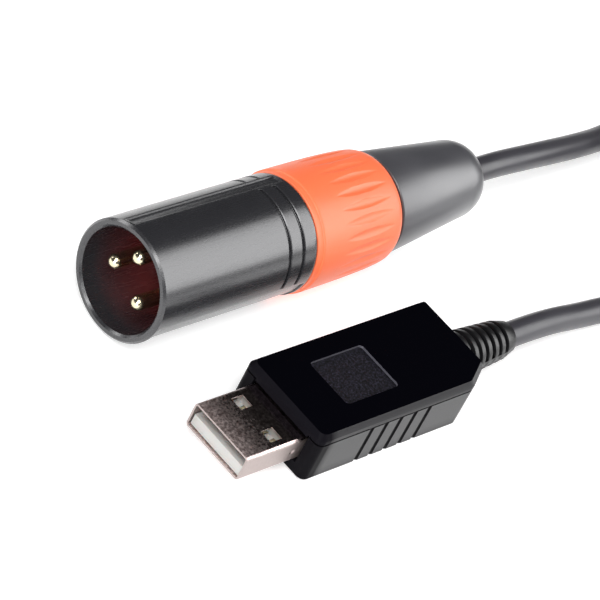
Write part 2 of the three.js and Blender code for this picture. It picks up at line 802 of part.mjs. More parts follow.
// A bar along X whose section is a rounded rectangle round the plug's axis
function plugBar(x0, x1, inset) {
  const y = plugHalfWidth - inset;
  const z = plugHeight / 2 - inset;
  const radius = Math.max(plugCornerRadius - inset, plugSheet / 2);
  const outline = roundedRectangle(-y, y, -z, z, radius);
  return bar(outline, x0, x1).translate(0, 0, plugZ);
}

// Plug shell: a folded sheet box with two windows in its top and its underside, and side dimples
function plugShell() {
  const end = caseX + plugRoot;
  let shell = plugBar(tipX, end, 0).subtract(plugBar(tipX - overrun, end + overrun, plugSheet));
  const window0 = tipX + windowSetback - windowSize / 2;
  for (const side of [-1, 1]) {
    const middle = (side * windowSpacing) / 2;
    shell = shell.subtract(
      box(
        window0, window0 + windowSize, middle - windowSize / 2, middle + windowSize / 2,
        plugZ - plugHeight, plugZ + plugHeight,
      ),
    );
    const dimple = new THREE.CylinderGeometry(
      dimpleDiameter / 2, dimpleDiameter / 2, 2 * dimpleDepth, pinSteps,
    );
    dimple.translate(caseX - dimpleSetback, side * plugHalfWidth, plugZ);
    shell = shell.subtract(solidOf(dimple));
  }
  return shell;
}

// Insulator: a tongue under the mating gap, and a full-height block behind with contact tunnels
function plugInsulator() {
  const inside = plugSheet + fineGap;
  const front = tipX + tongueSetback;
  const end = caseX + plugRoot - blockSetback;
  const above = box(
    front - overrun, front + tongueLength, -plugWidth, plugWidth, tongueTop, plugZ + plugHeight,
  );
  let insulator = plugBar(front, end, inside).subtract(above);
  for (const y of contactPlaces) {
    const half = contactWidth / 2 + fineGap;
    insulator = insulator.subtract(
      box(
        tipX + contactSetback - fineGap, end + overrun, y - half, y + half,
        contactTop - contactSheet - gap, contactTop + fineGap,
      ),
    );
  }
  return insulator;
}

function contactStrip(y) {
  const end = boardX + contactTail;
  const half = contactWidth / 2;
  return box(tipX + contactSetback, end, y - half, y + half, contactTop - contactSheet, contactTop);
}

// A chip body with a row of legs along each long side
function leggedChip(x0, length, width, height, legs) {
  const foot = boardTop + chipStand;
  let chip = box(x0, x0 + length, -width / 2, width / 2, foot + chipStand, foot + height);
  for (let i = 0; i < legs; i++) {
    const x = x0 + (length * (i + 0.5)) / legs;
    for (const side of [-1, 1]) {
      const root = side * (width / 2 - legSheet);
      const knee = side * (width / 2 + legReach / 2);
      const toe = side * (width / 2 + legReach);
      const mid = foot + height / 2;
      const span = (a, b, z0, z1) =>
        box(x - legWidth / 2, x + legWidth / 2, Math.min(a, b), Math.max(a, b), z0, z1);
      chip = chip.add(span(root, knee, mid - legSheet, mid));
      chip = chip.add(span(knee - side * legSheet, knee, foot, mid));
      chip = chip.add(span(knee - side * legSheet, toe, foot, foot + legSheet));
    }
  }
  return chip;
}

// A resistor or capacitor: a block with a metal cap round each end
function endCapped(x, y, height) {
  const foot = boardTop + chipStand;
  const w = chipWidth / 2;
  const p = chipCapProud;
  let chip = box(x, x + chipLength, y - w, y + w, foot + p, foot + height);
  for (const start of [x, x + chipLength - chipCap]) {
    chip = chip.add(box(start, start + chipCap, y - w - p, y + w + p, foot, foot + height + p));
  }
  return chip;
}

function circuitBoard() {
  const y = boardWidth / 2;
  return box(boardX, boardX + boardLength, -y, y, boardTop - boardThickness, boardTop);
}

// Strain relief: a flange trapped in the case, then ribs between two side webs and a plain collar
function strainRelief() {
  const start = reliefX + gap;
  const end = start + reliefLength;
  const ribsEnd = end - reliefCollarLength;
  const outer = (x) => {
    const share = (x - start) / (ribsEnd - start);
    return (reliefFrontDiameter + (reliefRibDiameter - reliefFrontDiameter) * share) / 2;
  };
  const profile = [
    [reliefFlangeFace, 0],
    [reliefFlangeFace, reliefFlangeDiameter / 2],
    [reliefFlangeEnd, reliefFlangeDiameter / 2],
    [reliefFlangeEnd, neckHalf],
    [start, neckHalf],
  ];
  for (let i = 0; i < reliefRibCount; i++) {
    const x = start + i * reliefPitch;
    profile.push([x, outer(x)], [x + reliefRib, outer(x + reliefRib)]);
    profile.push([x + reliefRib, reliefCore / 2], [x + reliefPitch, reliefCore / 2]);
  }
  profile.push([ribsEnd, outer(ribsEnd)], [end, reliefEndDiameter / 2], [end, 0]);
  const body = turned(profile, (roundSteps * 2) / 3);
  const inside = Math.cos(reliefWeb / reliefFrontDiameter);
  const a = outer(start) * inside;
  const b = outer(ribsEnd) * inside;
  const corners = [[start, -a], [ribsEnd, -b], [ribsEnd, b], [start, a]];
  const web = prism(corners.map((c) => new THREE.Vector2(...c)), -reliefWeb / 2, reliefWeb / 2);
  return body.add(web).translate(0, 0, plugZ);
}

// Wire from the jacket's end inside the case to the board's rear edge
function boardWire(i) {
  const start = usbJacketStart - gap;
  const end = boardX + boardLength - wireLanding;
  const angle = pinAngles[i];
  const y0 = (-Math.sin(angle) * wireSpread) / 2;
  const z0 = plugZ + (Math.cos(angle) * wireSpread) / 2;
  const y1 = (i - 1) * wirePitch;
  const z1 = boardTop + gap + wireDiameter / 2;
  const points = routeShares.map((share) => {
    const ease = THREE.MathUtils.smoothstep(share, 0, 1);
    const hump = Math.sin(share * Math.PI) * wireDiameter;
    return [start + (end - start) * share, y0 + (y1 - y0) * ease, z0 + (z1 - z0) * ease + hump];
  });
  return tube(points, wireDiameter, wireSides, wireSteps);
}

addPiece(usb, "usb_case_bottom", caseBottom(), satinBlack);
addPiece(usb, "usb_case_top", caseTop(), glossBlack);
addPiece(usb, "usb_plug_shell", plugShell(), nickel);
addPiece(usb, "usb_plug_insulator", plugInsulator(), whitePlastic);
contactPlaces.forEach((y, i) => {
  addPiece(usb, `usb_contact_${i + 1}`, contactStrip(y), goldPlate);
});
addPiece(usb, "circuit_board", circuitBoard(), boardGreen);
const serialX = boardX + boardLength * serialChipShare - serialChipLength / 2;
const serialChip = leggedChip(
  serialX, serialChipLength, serialChipWidth, serialChipHeight, serialChipLegs,
);
addPiece(usb, "usb_serial_chip", serialChip, chipBlack);
const transceiverX = boardX + boardLength * transceiverShare - transceiverLength / 2;
const transceiver = leggedChip(
  transceiverX, transceiverLength, transceiverWidth, transceiverHeight, transceiverLegs,
);
addPiece(usb, "rs485_transceiver_chip", transceiver, chipBlack);
const capacitorY = boardWidth / 2 - capacitorInset;
const capacitorPlaces = [
  [serialX, capacitorY],
  [serialX + serialChipLength - chipLength, -capacitorY],
  [transceiverX, capacitorY],
];
capacitorPlaces.forEach(([x, y], i) => {
  addPiece(usb, `capacitor_${i + 1}`, endCapped(x, y, capacitorHeight), chipBuff);
});
for (let i = 0; i < resistorCount; i++) {
  const x = transceiverX + i * (chipLength + resistorGap);
  addPiece(usb, `resistor_${i + 1}`, endCapped(x, -capacitorY, resistorHeight), chipBlack);
}
addPiece(usb, "strain_relief", strainRelief(), blackRubber);
const usbCableEnd = rod(usbJacketStart, usbJacketEnd, cableDiameter);
addPiece(usb, "usb_cable_end", usbCableEnd.translate(0, 0, plugZ), cableJacket);
for (let i = 0; i < wireColours.length; i++) {
  addPiece(usb, `usb_wire_${i + 1}`, boardWire(i), wireColours[i]);
}

// The coil: one unbroken tube that spirals in and out in four layers, and climbs a layer in the
// half turn where the spiral reverses
const turnPitch = cableDiameter + coilSpacing;
const turnsPerLayer = coilTurns / coilLayers;
const coilSpan = turnsPerLayer * turnPitch;
const coilOutside = (coilMeanDiameter + coilSpan) / 2;
const coilBase = tieSheet + gap + cableDiameter / 2;

function coilRadius(turn) {
  const phase = (turn / turnsPerLayer) % 2;
  const inward = phase < 1 ? phase : 2 - phase;
  return coilOutside - coilSpan * inward;
}

function coilPoint(turn) {
  const radius = coilRadius(turn);
  let climbs = 0;
  for (let k = 1; k < coilLayers; k++) {
    const share = (turn - k * turnsPerLayer) / climbShare + 0.5;
    climbs += THREE.MathUtils.smoothstep(share, 0, 1);
  }
  const angle = Math.PI / 2 - 2 * Math.PI * turn;
  return new THREE.Vector3(
    coilCentreX + radius * Math.cos(angle),
    coilCentreY + radius * Math.sin(angle),
    coilBase + turnPitch * climbs,
  );
}

function coilRoute() {
  const points = [];
  const steps = Math.round(coilTurns * coilSteps);
  for (let i = 0; i <= steps; i++) points.push(coilPoint((i / steps) * coilTurns));
  const stub = new THREE.Vector3(-cableDiameter, 0, 0);
  points.unshift(points[0].clone().add(stub));
  points.push(points.at(-1).clone().add(stub));
  return points;
}

// A closed tube through points, its section kept upright
function sweptTube(points, diameter, sides) {
  const position = [];
  const index = [];
  points.forEach((point, i) => {
    const last = points.length - 1;
    const along = points[Math.min(i + 1, last)].clone().sub(points[Math.max(i - 1, 0)]);
    if (i === 0 || i === last) along.set(i === 0 ? 1 : -1, 0, 0);
    along.normalize();
    const across = new THREE.Vector3(0, 0, 1).cross(along).normalize();
    const upward = along.clone().cross(across);
    for (let k = 0; k < sides; k++) {
      const angle = ((k + 0.5) / sides) * 2 * Math.PI;
      const corner = point.clone();
      corner.addScaledVector(across, (diameter / 2) * Math.cos(angle));
      corner.addScaledVector(upward, (diameter / 2) * Math.sin(angle));
      position.push(corner.x, corner.y, corner.z);
    }
  });
  const count = points.length;
  for (let i = 0; i < count - 1; i++) {
    for (let k = 0; k < sides; k++) {
      const a = i * sides + k;
      const b = i * sides + ((k + 1) % sides);
      index.push(a, b, b + sides, a, b + sides, a + sides);
    }
  }
  for (let k = 1; k < sides - 1; k++) {
    const end = (count - 1) * sides;
    index.push(0, k + 1, k, end, end + k, end + k + 1);
  }
  const geometry = new THREE.BufferGeometry();
  geometry.setAttribute("position", new THREE.Float32BufferAttribute(position, 3));
  geometry.setIndex(index);
  return solidOf(geometry);
}

// The tie: a flat band round the whole bundle on the coil's +X side
function cableTie() {
  const half = tieWidth / 2;
  const radii = [];
  for (let turn = tieTurn; turn < coilTurns; turn++) radii.push(coilRadius(turn));
  const innermost = Math.min(...radii);
  const outermost = Math.max(...radii);
  const turn = Math.asin(half / innermost) / (2 * Math.PI);
  const room = cableDiameter / 2 + gap;
  const x0 = Math.sqrt(innermost ** 2 - half ** 2) - turnPitch * turn - room;
  const x1 = outermost + turnPitch * turn + room;
  const z0 = coilBase - room;
  const z1 = coilBase + (coilLayers - 1) * turnPitch + room;
  const t = tieSheet;
  const outer = roundedRectangle(x0 - t, x1 + t, z0 - t, z1 + t, room + t);
  const inner = roundedRectangle(x0, x1, z0, z1, room);
  const band = prism(outer, -half, half).subtract(prism(inner, -tieWidth, tieWidth));
  const geometry = geometryOf(band);
  geometry.rotateX(Math.PI / 2);
  geometry.translate(coilCentreX, coilCentreY, 0);
  return solidOf(geometry);
}

function leadSteps(points) {
  const curve = new THREE.CatmullRomCurve3(points.map((p) => new THREE.Vector3(...p)));
  return { length: curve.getLength(), steps: Math.round(curve.getLength() / (2 * cableDiameter)) };
}

const xlrLead = leadSteps(xlrLeadPoints);
const usbLead = leadSteps(usbLeadPoints);
const coilPoints = coilRoute();
const coilTube = sweptTube(coilPoints, cableDiameter, coilSides);
addPiece(cord, "cord_xlr_lead",
  tube(xlrLeadPoints, cableDiameter, leadSides, xlrLead.steps), cableJacket);
addPiece(cord, "cord_coil", coilTube, cableJacket);
addPiece(cord, "cord_usb_lead",
  tube(usbLeadPoints, cableDiameter, leadSides, usbLead.steps), cableJacket);
addPiece(cord, "cable_tie", cableTie(), blackRubber);

// What the coil measures: its length, and its least gap to itself between points at least a
// quarter turn apart
let coilLength = 0;
let leastGap = Infinity;
coilPoints.forEach((point, i) => {
  if (i > 0) coilLength += point.distanceTo(coilPoints[i - 1]);
  for (let k = i + coilSteps / 4; k < coilPoints.length; k++) {
    leastGap = Math.min(leastGap, point.distanceTo(coilPoints[k]) - cableDiameter);
  }
});
const cordLength = coilLength + xlrLead.length + usbLead.length;
console.log(`coil gap to itself ${leastGap.toFixed(2)} mm, cord length ${cordLength.toFixed(0)} mm`);

export default object;
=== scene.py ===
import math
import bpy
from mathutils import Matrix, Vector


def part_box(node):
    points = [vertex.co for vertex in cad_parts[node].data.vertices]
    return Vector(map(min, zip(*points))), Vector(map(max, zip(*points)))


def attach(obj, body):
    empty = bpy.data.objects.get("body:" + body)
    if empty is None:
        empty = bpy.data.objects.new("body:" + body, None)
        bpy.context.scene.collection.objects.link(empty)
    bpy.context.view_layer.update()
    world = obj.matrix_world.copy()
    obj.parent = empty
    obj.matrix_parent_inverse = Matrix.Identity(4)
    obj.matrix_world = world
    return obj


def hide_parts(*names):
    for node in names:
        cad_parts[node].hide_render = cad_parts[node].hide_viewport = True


bl_info = {
    "name": "Lighting Lead",
    "version": (1, 0, 0),
    "blender": (4, 5, 0),
    "location": "3D Viewport > Sidebar > Lighting Lead",
    "description": "Dresses a USB to stage-lighting lead: two plugs, their cable and its tied coil",
    "category": "Object",
}

import bmesh
import bpy
from mathutils import Matrix, Vector

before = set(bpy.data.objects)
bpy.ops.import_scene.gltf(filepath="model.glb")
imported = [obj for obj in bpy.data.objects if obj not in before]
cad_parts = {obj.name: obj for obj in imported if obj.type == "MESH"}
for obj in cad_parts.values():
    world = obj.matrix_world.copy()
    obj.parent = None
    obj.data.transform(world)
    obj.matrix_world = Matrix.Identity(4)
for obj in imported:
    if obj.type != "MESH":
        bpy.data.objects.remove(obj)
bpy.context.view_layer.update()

MM = 0.001
MERGE_DISTANCE = 0.001 * MM  # points closer than this are one point
NEARLY = 0.02 * MM  # a place this close to another is at it
FACING = 0.99  # a normal with this much of a direction faces that way
FLAT_WITHIN = math.radians(1)  # faces that meet at less are one
OVERCUT = 1.0 * MM  # how far a cutter reaches past what it cuts
CORNER_SEGMENTS = 6
ROUND_SEGMENTS = 2
ROD_SIDES = 48

# Places that come from the frame
shell_low, shell_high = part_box("xlr_shell")
ring_low, ring_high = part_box("screw_ring")
boot_low, boot_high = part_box("boot")
case_low, tray_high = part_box("usb_case_bottom")
case_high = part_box("usb_case_top")[1]
plug_low, plug_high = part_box("usb_plug_shell")
relief_low, relief_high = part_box("strain_relief")

MOUTH_X = shell_low.x
XLR_AXIS = Vector((0, (ring_low.y + ring_high.y) / 2, (ring_low.z + ring_high.z) / 2))
USB_AXIS = Vector((0, (plug_low.y + plug_high.y) / 2, (plug_low.z + plug_high.z) / 2))
XLR_ROLL = math.radians(49)  # how far the XLR plug lies rolled over, towards +Y

# Camera at the photograph's viewpoint
CAMERA_PLACE = Vector((-379.87, -211.73, 332.29)) * MM
CAMERA_RIGHT = Vector((0.68582, -0.62441, 0.37384))
CAMERA_UP = Vector((0.22854, 0.67246, 0.70396))
CAMERA_LENS = 214
CAMERA_SENSOR = 36
CAMERA_CLIP = 10 * MM

# Studio: each softbox's name, place, width, height and power in watts
SOFTBOXES = (
    ("key", (-0.55, -0.25, 0.75), 0.5, 0.5, 8.0),
    ("side", (0.62, -0.48, 0.46), 0.8, 0.75, 9.0),
    ("back", (-0.1, 0.8, 0.35), 0.7, 0.3, 4.0),
    ("front", (-0.95, -0.3, 0.24), 0.4, 0.4, 6.0),
)
SOFTBOX_AIM = Vector((0, 0, 0.01))
FLOOR_SIZE = 6.0
FLOOR_CUTS = 3
SURROUND_LEVEL = 1.0
OVERHEAD_LEVEL = 0.22
DIMMING_START = 0.15  # height above the horizon, as a sine
DIMMING_SPAN = 0.4

# XLR shell, whose places count from its mouth
SHELL_SIDES = 120
RIM_CHAMFER = 0.35 * MM
LIP_BORE = 13.2 * MM
LIP_FRONT = 15.5 * MM
LIP_BACK = 17.3 * MM
SPIGOT_BORE = 14.4 * MM
SPIGOT_DIAMETER = 16.1 * MM
STRIP_FRONT = 0.9 * MM
STRIP_DEPTH = 0.25 * MM
SHOULDER_BAND = 0.5 * MM  # full-round band behind the strips
SHOULDER = 32.2 * MM
GROOVE_MIDDLES = (26.5 * MM, 29.4 * MM)
GROOVE_WIDTH = 0.8 * MM
GROOVE_DEPTH = 0.45 * MM
GROOVE_PROFILE = ((0.25, 0.72), (0.9, 0.97), (1.0, 0.7))  # share of its depth, and narrowing
TOP_STRIP = (22.5, 34.5)  # degrees from the plug's own top towards -Y
LOW_STRIP = (148.5, 211.5)

# Thread under the ring
THREAD_PITCH = 2.0 * MM
THREAD_FOOT = 0.7 * MM
THREAD_FLAT_SHARE = 0.25  # width of its crest as a share of its foot
THREAD_HEIGHT = 0.2 * MM
THREAD_TURNS = 5
THREAD_STEPS = 72

# Maroon painted on the bore's wall in front of the insert: a painted reflection of the insert's
# colour
GLOW_START = 2.5 * MM
GLOW_LENGTH = 9.5 * MM
GLOW_STRENGTH = 0.5
BORE_SKIN = 0.2 * MM  # it stays full this far into the wall, and then fades
BORE_FADE = 0.1 * MM

# XLR insert and pins, with places from the mouth
INSERT_SIDES = 72
NOSE_DIAMETER = 12.6 * MM
INSERT_FRONT = 14.8 * MM
INSERT_EDGE = 0.5 * MM
INSERT_FLANGE_FRONT = 17.6 * MM
INSERT_BACK = 24.0 * MM
INSERT_FLANGE_DIAMETER = 13.8 * MM
PIN_SIDES = 40
PIN_DIAMETER = 2.4 * MM
PIN_CIRCLE = 7.7 * MM
PIN_FRONT = 1.6 * MM
PIN_BACK = 27.45 * MM
PIN_NOSE_STEPS = 8
PIN_HOLE = 2.8 * MM
PIN_HOLE_SIDES = 32
PIN_ANGLES = (45, -45, 180)  # degrees from the plug's own top towards -Y
CUP_DEPTH = 2.8 * MM
CUP_WALL = 0.35 * MM

# Screw ring
RING_BORE = 16.7 * MM
RING_FRONT_DIAMETER = 19.1 * MM
COLLAR_WIDTH = 1.1 * MM
COLLAR_STEP = 0.2 * MM
RING_REAR_DIAMETER = 18.2 * MM
RING_EDGE = 0.35 * MM
RING_EDGE_PROFILE = ((0.3, 0.25), (0.05, 0.7), (0.0, 1.0))  # shares forward and inward
RING_ARCH_STEPS = 64
FINE_ROUND = 0.1 * MM
RING_LIP = 3.4 * MM
RING_POCKET = 3.0 * MM
RING_POCKET_DIAMETER = 14.8 * MM
RING_NECK_DIAMETER = 13.2 * MM
FLUTE_SIDES = 16  # of the ring, across one flute and the land beside it
FLUTE_LENGTH = 11.6 * MM
FLUTE_SETBACK = 2.0 * MM

# Boot
BOOT_SIDES = 112
BOOT_FRONT_DIAMETER = 17.0 * MM
BOOT_REAR_DIAMETER = 13.0 * MM
BOOT_END_ROUND = 5.0 * MM
BOOT_END_STEPS = 16
BOOT_MOUTH_DIAMETER = 6.6 * MM
BOOT_NECK_DIAMETER = 12.6 * MM
BOOT_FLANGE_DIAMETER = 14.2 * MM
BOOT_FLANGE_LENGTH = 2.4 * MM
BOOT_NECK_LENGTH = 4.0 * MM
BOOT_EDGE = 0.25 * MM
BOOT_EDGE_PROFILE = ((0.0, 1.0), (0.3, 0.3), (1.0, 0.0))  # shares backward and inward
BOOT_STANDOFF = 0.6 * MM  # its front stands this much further back than the solid's
BOOT_BORE = 4.8 * MM
BOOT_CONE_FRONT = 11.94 * MM
BOOT_CONE_BACK = 7.29 * MM
BOOT_CONE_LENGTH = 4.5 * MM

# USB case
CASE_WALL = 1.2 * MM
CORNER_CUT = Vector((5.0, 2.9, 0)) * MM
FRONT_CORNER = 1.2 * MM
SMALL_CORNER = 0.4 * MM
LID_BEVEL_WIDTH = 0.6 * MM
LID_BEVEL_HEIGHT = 0.9 * MM
FOOT_BEVEL = 0.4 * MM
LID_FOOT = 7.6 * MM
SNAP_LIP = 0.7 * MM
LIP_HEIGHT = 0.9 * MM
RAIL_WIDTH = 1.0 * MM
RAIL_INSET = 1.2 * MM
PAD_LENGTH = 4.6 * MM
PAD_SETBACK = 1.5 * MM
SEAM_GAP = 0.3 * MM
RECESS_SIZE = Vector((11.4, 9.0, 0)) * MM
RECESS_SETBACK = 9.0 * MM
RECESS_CORNER = 0.7 * MM
RECESS_HIGHLIGHT_REACH = 1.5  # how far the painted edge highlight reaches out, in edge rounds
GRIP_COUNT = 5
GRIP_PITCH = 3.2 * MM
GRIP_SETBACK = 11.6 * MM
GRIP_RADIUS = 0.5 * MM
GRIP_SIDES = 32

# The case's front end and foot, which are duller
DULL_START = 2.2 * MM
DULL_LENGTH = 1.6 * MM
DULL_SHARE = 0.05
FOOT_HEIGHT = 2.2 * MM
FOOT_SHARE = 0.3

# USB plug
PLUG_CORNER = 0.6 * MM
PLUG_SHEET = 0.32 * MM
WINDOW_SIZE = 2.3 * MM
WINDOW_SETBACK = 7.1 * MM
WINDOW_SPACING = 6.9 * MM
DIMPLE_SPHERE = 0.7 * MM
DIMPLE_SIDES = 32
DIMPLE_DEPTH = 0.2 * MM
DIMPLE_SETBACK = 1.7 * MM
SEAM_LINE = 0.14 * MM
SCUFF_LENGTH = 8.0 * MM
SCUFF_POLISH = 0.3  # how much less rough the broad faces are behind the scuffed end

# Strain relief
RELIEF_SIDES = 72
RELIEF_FRONT_DIAMETER = 7.8 * MM
RELIEF_RIB_DIAMETER = 6.4 * MM
RELIEF_END_DIAMETER = 5.2 * MM
RELIEF_CORE = 4.5 * MM
RELIEF_PITCH = 1.7 * MM
RELIEF_RIB = 0.8 * MM
RELIEF_RIBS = 6
RELIEF_SHINE = 0.9 * MM  # over this height its gloss grows from the slots' to the ribs'
RELIEF_NECK = 5.2 * MM
RELIEF_FLANGE_DIAMETER = 6.2 * MM
RELIEF_FLANGE = 1.5 * MM
RELIEF_WEB = 1.2 * MM

# Cable, coil and tie
CABLE_DIAMETER = 4.2 * MM
CABLE_ROUNDNESS = 7  # as the curve's bevel counts it
LEAD_STEPS = 4
COIL_CENTRE = Vector((118.0, -9.2, 0)) * MM
COIL_MEAN_DIAMETER = 44.2 * MM
COIL_TURNS = 11.5
COIL_LAYERS = 4
COIL_PITCH = 4.75 * MM
COIL_BASE = 3.0 * MM
COIL_STEPS = 36
CLIMB_SHARE = 0.5  # of a turn, in which the coil climbs a layer

# The cable's two leads in millimetres, from each plug to the coil
XLR_LEAD = (
    (14.9, 13.55, 9.8), (24.0, 13.55, 9.8), (33.0, 13.55, 9.8), (40.0, 13.55, 9.8),
    (47.0, 13.55, 9.7), (54.0, 13.6, 9.1), (62.0, 13.9, 8.0), (70.0, 14.5, 6.6),
    (78.0, 15.5, 5.0), (86.0, 16.8, 3.8), (94.0, 18.1, 3.2), (102.0, 19.1, 3.0),
    (108.0, 19.6, 3.0), (113.5, 19.73, 3.0),
)
USB_LEAD = (
    (24.45, -14.65, 4.6), (30.0, -14.65, 4.6), (36.0, -14.65, 4.2), (43.0, -14.65, 3.1),
    (50.0, -14.8, 2.3), (57.0, -15.5, 2.1), (64.0, -17.4, 2.1), (71.0, -20.7, 2.4),
    (78.0, -25.0, 3.8), (85.0, -29.5, 6.5), (92.0, -33.5, 10.0), (99.0, -36.5, 13.6),
    (106.0, -38.0, 16.4), (113.5, -38.13, 17.25),
)


def linear(code):
    """An sRGB hex colour as linear red, green and blue."""
    parts = [int(code[i : i + 2], 16) / 255 for i in (1, 3, 5)]
    return tuple(c / 12.92 if c <= 0.04045 else ((c + 0.055) / 1.055) ** 2.4 for c in parts)


def colour(name, code, description):
    """A colour property whose default is an sRGB hex value."""
    return bpy.props.FloatVectorProperty(
        name=name, description=description, subtype="COLOR", min=0, max=1, default=linear(code)
    )


def size(name, default, description):
    """A length property in metres."""
    return bpy.props.FloatProperty(
        name=name, description=description, subtype="DISTANCE", unit="LENGTH", default=default
    )


class LEAD_PG_sizes(bpy.types.PropertyGroup):
    shell_diameter: size("Shell", 19.0 * MM, "Outside of the XLR plug's metal barrel")
    mouth_diameter: size("Mouth", 16.4 * MM, "Inside of the barrel, where the mating plug goes")
    ring_diameter: size("Ring", 19.6 * MM, "The screw ring just behind its front collar")
    flute_width: size("Flute width", 1.45 * MM, "Across one finger flute on the screw ring")
    flute_depth: size("Flute depth", 0.26 * MM, "Depth of one finger flute")
    flute_count: bpy.props.IntProperty(
        name="Flutes", description="Finger flutes round the screw ring", default=26, min=3
    )
    recess_depth: size("Recess depth", 0.4 * MM, "Depth of the square recess in the case's lid")
    grip_depth: size("Grip depth", 0.7 * MM, "Depth of the grip grooves in the case's sides")
    edge_round: size("Edge round", 0.09 * MM, "Round on moulded and turned edges")


class LEAD_PG_colours(bpy.types.PropertyGroup):
    shell: colour("Shell", "#2b2b2e", "Black plated die-casting of the XLR barrel")
    insert: colour("Insert", "#7a2624", "Maroon insulator that holds the pins")
    gold: colour("Gold", "#efe2c2", "Thin gold plate on the pins and contacts")
    ring: colour("Ring", "#f47349", "Orange screw ring")
    boot: colour("Boot", "#3e3e42", "Black elastomer gland behind the ring")
    jacket: colour("Jacket", "#38373c", "PVC cable jacket")
    lid: colour("Lid", "#030307", "Polished black lid of the case")
    band: colour("Band", "#121115", "Satin band and sides of the case's lid")
    # The edge colour is lighter to paint a highlight along the recess's edge
    edge: colour("Edge", "#4b4a52", "Edge of the recess, rubbed a little lighter")
    tray: colour("Tray", "#100f12", "Satin black lower half of the case")
    nickel: colour("Nickel", "#ada19e", "Nickel plate on the USB plug's shell")
    ivory: colour("Ivory", "#abaaa7", "Insulator of the USB plug")
    relief: colour("Relief", "#0d0d0f", "Ribbed strain relief")
    board: colour("Board", "#1d5a36", "Solder mask of the circuit board")
    floor: colour("Floor", "#e9e9e9", "Pale studio floor")


def sizes():
    return bpy.context.scene.lead_sizes


def colours():
    return bpy.context.scene.lead_colours


# Modelling steps that the pieces share


def deselect():
    """Object mode, with nothing selected."""
    if bpy.context.mode != "OBJECT":
        bpy.ops.object.mode_set(mode="OBJECT")
    bpy.ops.object.select_all(action="DESELECT")


def activate(piece):
    """Object mode, with this piece alone selected."""
    deselect()
    piece.select_set(True)
    bpy.context.view_layer.objects.active = piece


def open_piece(piece, elements="FACE"):
    """Edit mode on one piece, with nothing selected in it."""
    activate(piece)
    bpy.ops.object.mode_set(mode="EDIT")
    bpy.ops.mesh.select_mode(type=elements)
    bpy.ops.mesh.select_all(action="DESELECT")


def close_piece(name=None):
    """Leaves edit mode, applies the piece's place to its mesh, and names it where it is new."""
    bpy.ops.object.mode_set(mode="OBJECT")
    bpy.ops.object.transform_apply(location=True, rotation=True, scale=True)
    piece = bpy.context.object
    if name:
        piece.name = piece.data.name = name
    return piece


def select_where(elements, test):
    data = bpy.context.object.data
    mesh = bmesh.from_edit_mesh(data)
    for element in getattr(mesh, elements):
        element.select_set(bool(test(element)))
    mesh.select_flush_mode()
    bmesh.update_edit_mesh(data)


def select_faces(test):
    """Selects the faces whose middle and normal pass the test, in edit mode."""
    select_where("faces", lambda face: test(face.calc_center_median(), face.normal))


def select_edges(test):
    """Selects the edges whose two ends pass the test, in edit mode."""
    select_where("edges", lambda edge: test(edge.verts[0].co, edge.verts[1].co))


def mend_normals():
    bpy.ops.mesh.select_all(action="SELECT")
    bpy.ops.mesh.remove_doubles(threshold=MERGE_DISTANCE)
    bpy.ops.mesh.normals_make_consistent(inside=False)


def extrude_selected(move=(0, 0, 0)):
    bpy.ops.mesh.extrude_region_move(TRANSFORM_OT_translate={"value": move})


def scale_selected(factors, centre):
    bpy.ops.transform.resize(value=factors, center_override=centre)


def bevel_selected(radius):
    bpy.ops.mesh.bevel(
        offset=radius, offset_type="OFFSET", segments=CORNER_SEGMENTS, affect="EDGES"
    )


def turned(name, stations, sides, axis, caps=False, start=0.0):
    """A circle across X, drawn out ring by ring through stations of place past the start and
    diameter. With caps both ends are closed, and without them the last station is the first one
    again."""
    deselect()
    stations = [(start + x, diameter) for x, diameter in stations]
    x, diameter = stations[0]
    bpy.ops.mesh.primitive_circle_add(
        vertices=sides,
        radius=diameter / 2,
        fill_type="NGON" if caps else "NOTHING",
        location=(x, axis.y, axis.z),
        rotation=(0, math.pi / 2, 0),
        enter_editmode=True,
    )
    bpy.ops.mesh.select_mode(type="EDGE")
    bpy.ops.mesh.select_all(action="SELECT")
    for next_x, next_diameter in stations[1:]:
        extrude_selected((next_x - x, 0, 0))
        factor = next_diameter / diameter
        scale_selected((1, factor, factor), (next_x, axis.y, axis.z))
        x, diameter = next_x, next_diameter
    mend_normals()
    return close_piece(name)


def rod(name, x0, x1, diameter, axis=USB_AXIS, sides=ROD_SIDES):
    """A closed rod along X."""
    return turned(name, [(x0, diameter), (x1, diameter)], sides, axis, caps=True)


def box(name, low, high):
    """A block between two corners, from a unit cube sized in edit mode."""
    deselect()
    middle = (low + high) / 2
    bpy.ops.mesh.primitive_cube_add(size=1, location=middle, enter_editmode=True)
    scale_selected(high - low, middle)
    return close_piece(name)


def copied(piece, name, offset=(0, 0, 0)):
    """A copy of the piece with a mesh of its own, moved by the offset."""
    twin = piece.copy()
    twin.data = piece.data.copy()
    twin.name = twin.data.name = name
    twin.data.transform(Matrix.Translation(offset))
    bpy.context.scene.collection.objects.link(twin)
    return twin


def merged_copy(node, name):
    """A copy of a frame node, its loose triangles merged to one skin."""
    piece = copied(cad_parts[node], name)
    piece.parent = None
    for key in list(piece.keys()):
        if key.startswith("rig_"):
            del piece[key]
    piece.hide_render = False
    piece.hide_viewport = False
    piece.data.materials.clear()
    open_piece(piece)
    bpy.ops.mesh.select_all(action="SELECT")
    bpy.ops.mesh.remove_doubles(threshold=MERGE_DISTANCE)
    bpy.ops.mesh.dissolve_limited(angle_limit=FLAT_WITHIN)
    return close_piece()


def apply_modifier(piece, kind, **settings):
    activate(piece)
    modifier = piece.modifiers.new(kind.title(), kind)
    for key, value in settings.items():
        setattr(modifier, key, value)
    bpy.ops.object.modifier_apply(modifier=modifier.name)


def combine(piece, other, operation="UNION"):
    """Adds the other piece to this one, or cuts it out, and removes it."""
    apply_modifier(piece, "BOOLEAN", operation=operation, solver="EXACT", object=other)
    bpy.data.objects.remove(other)


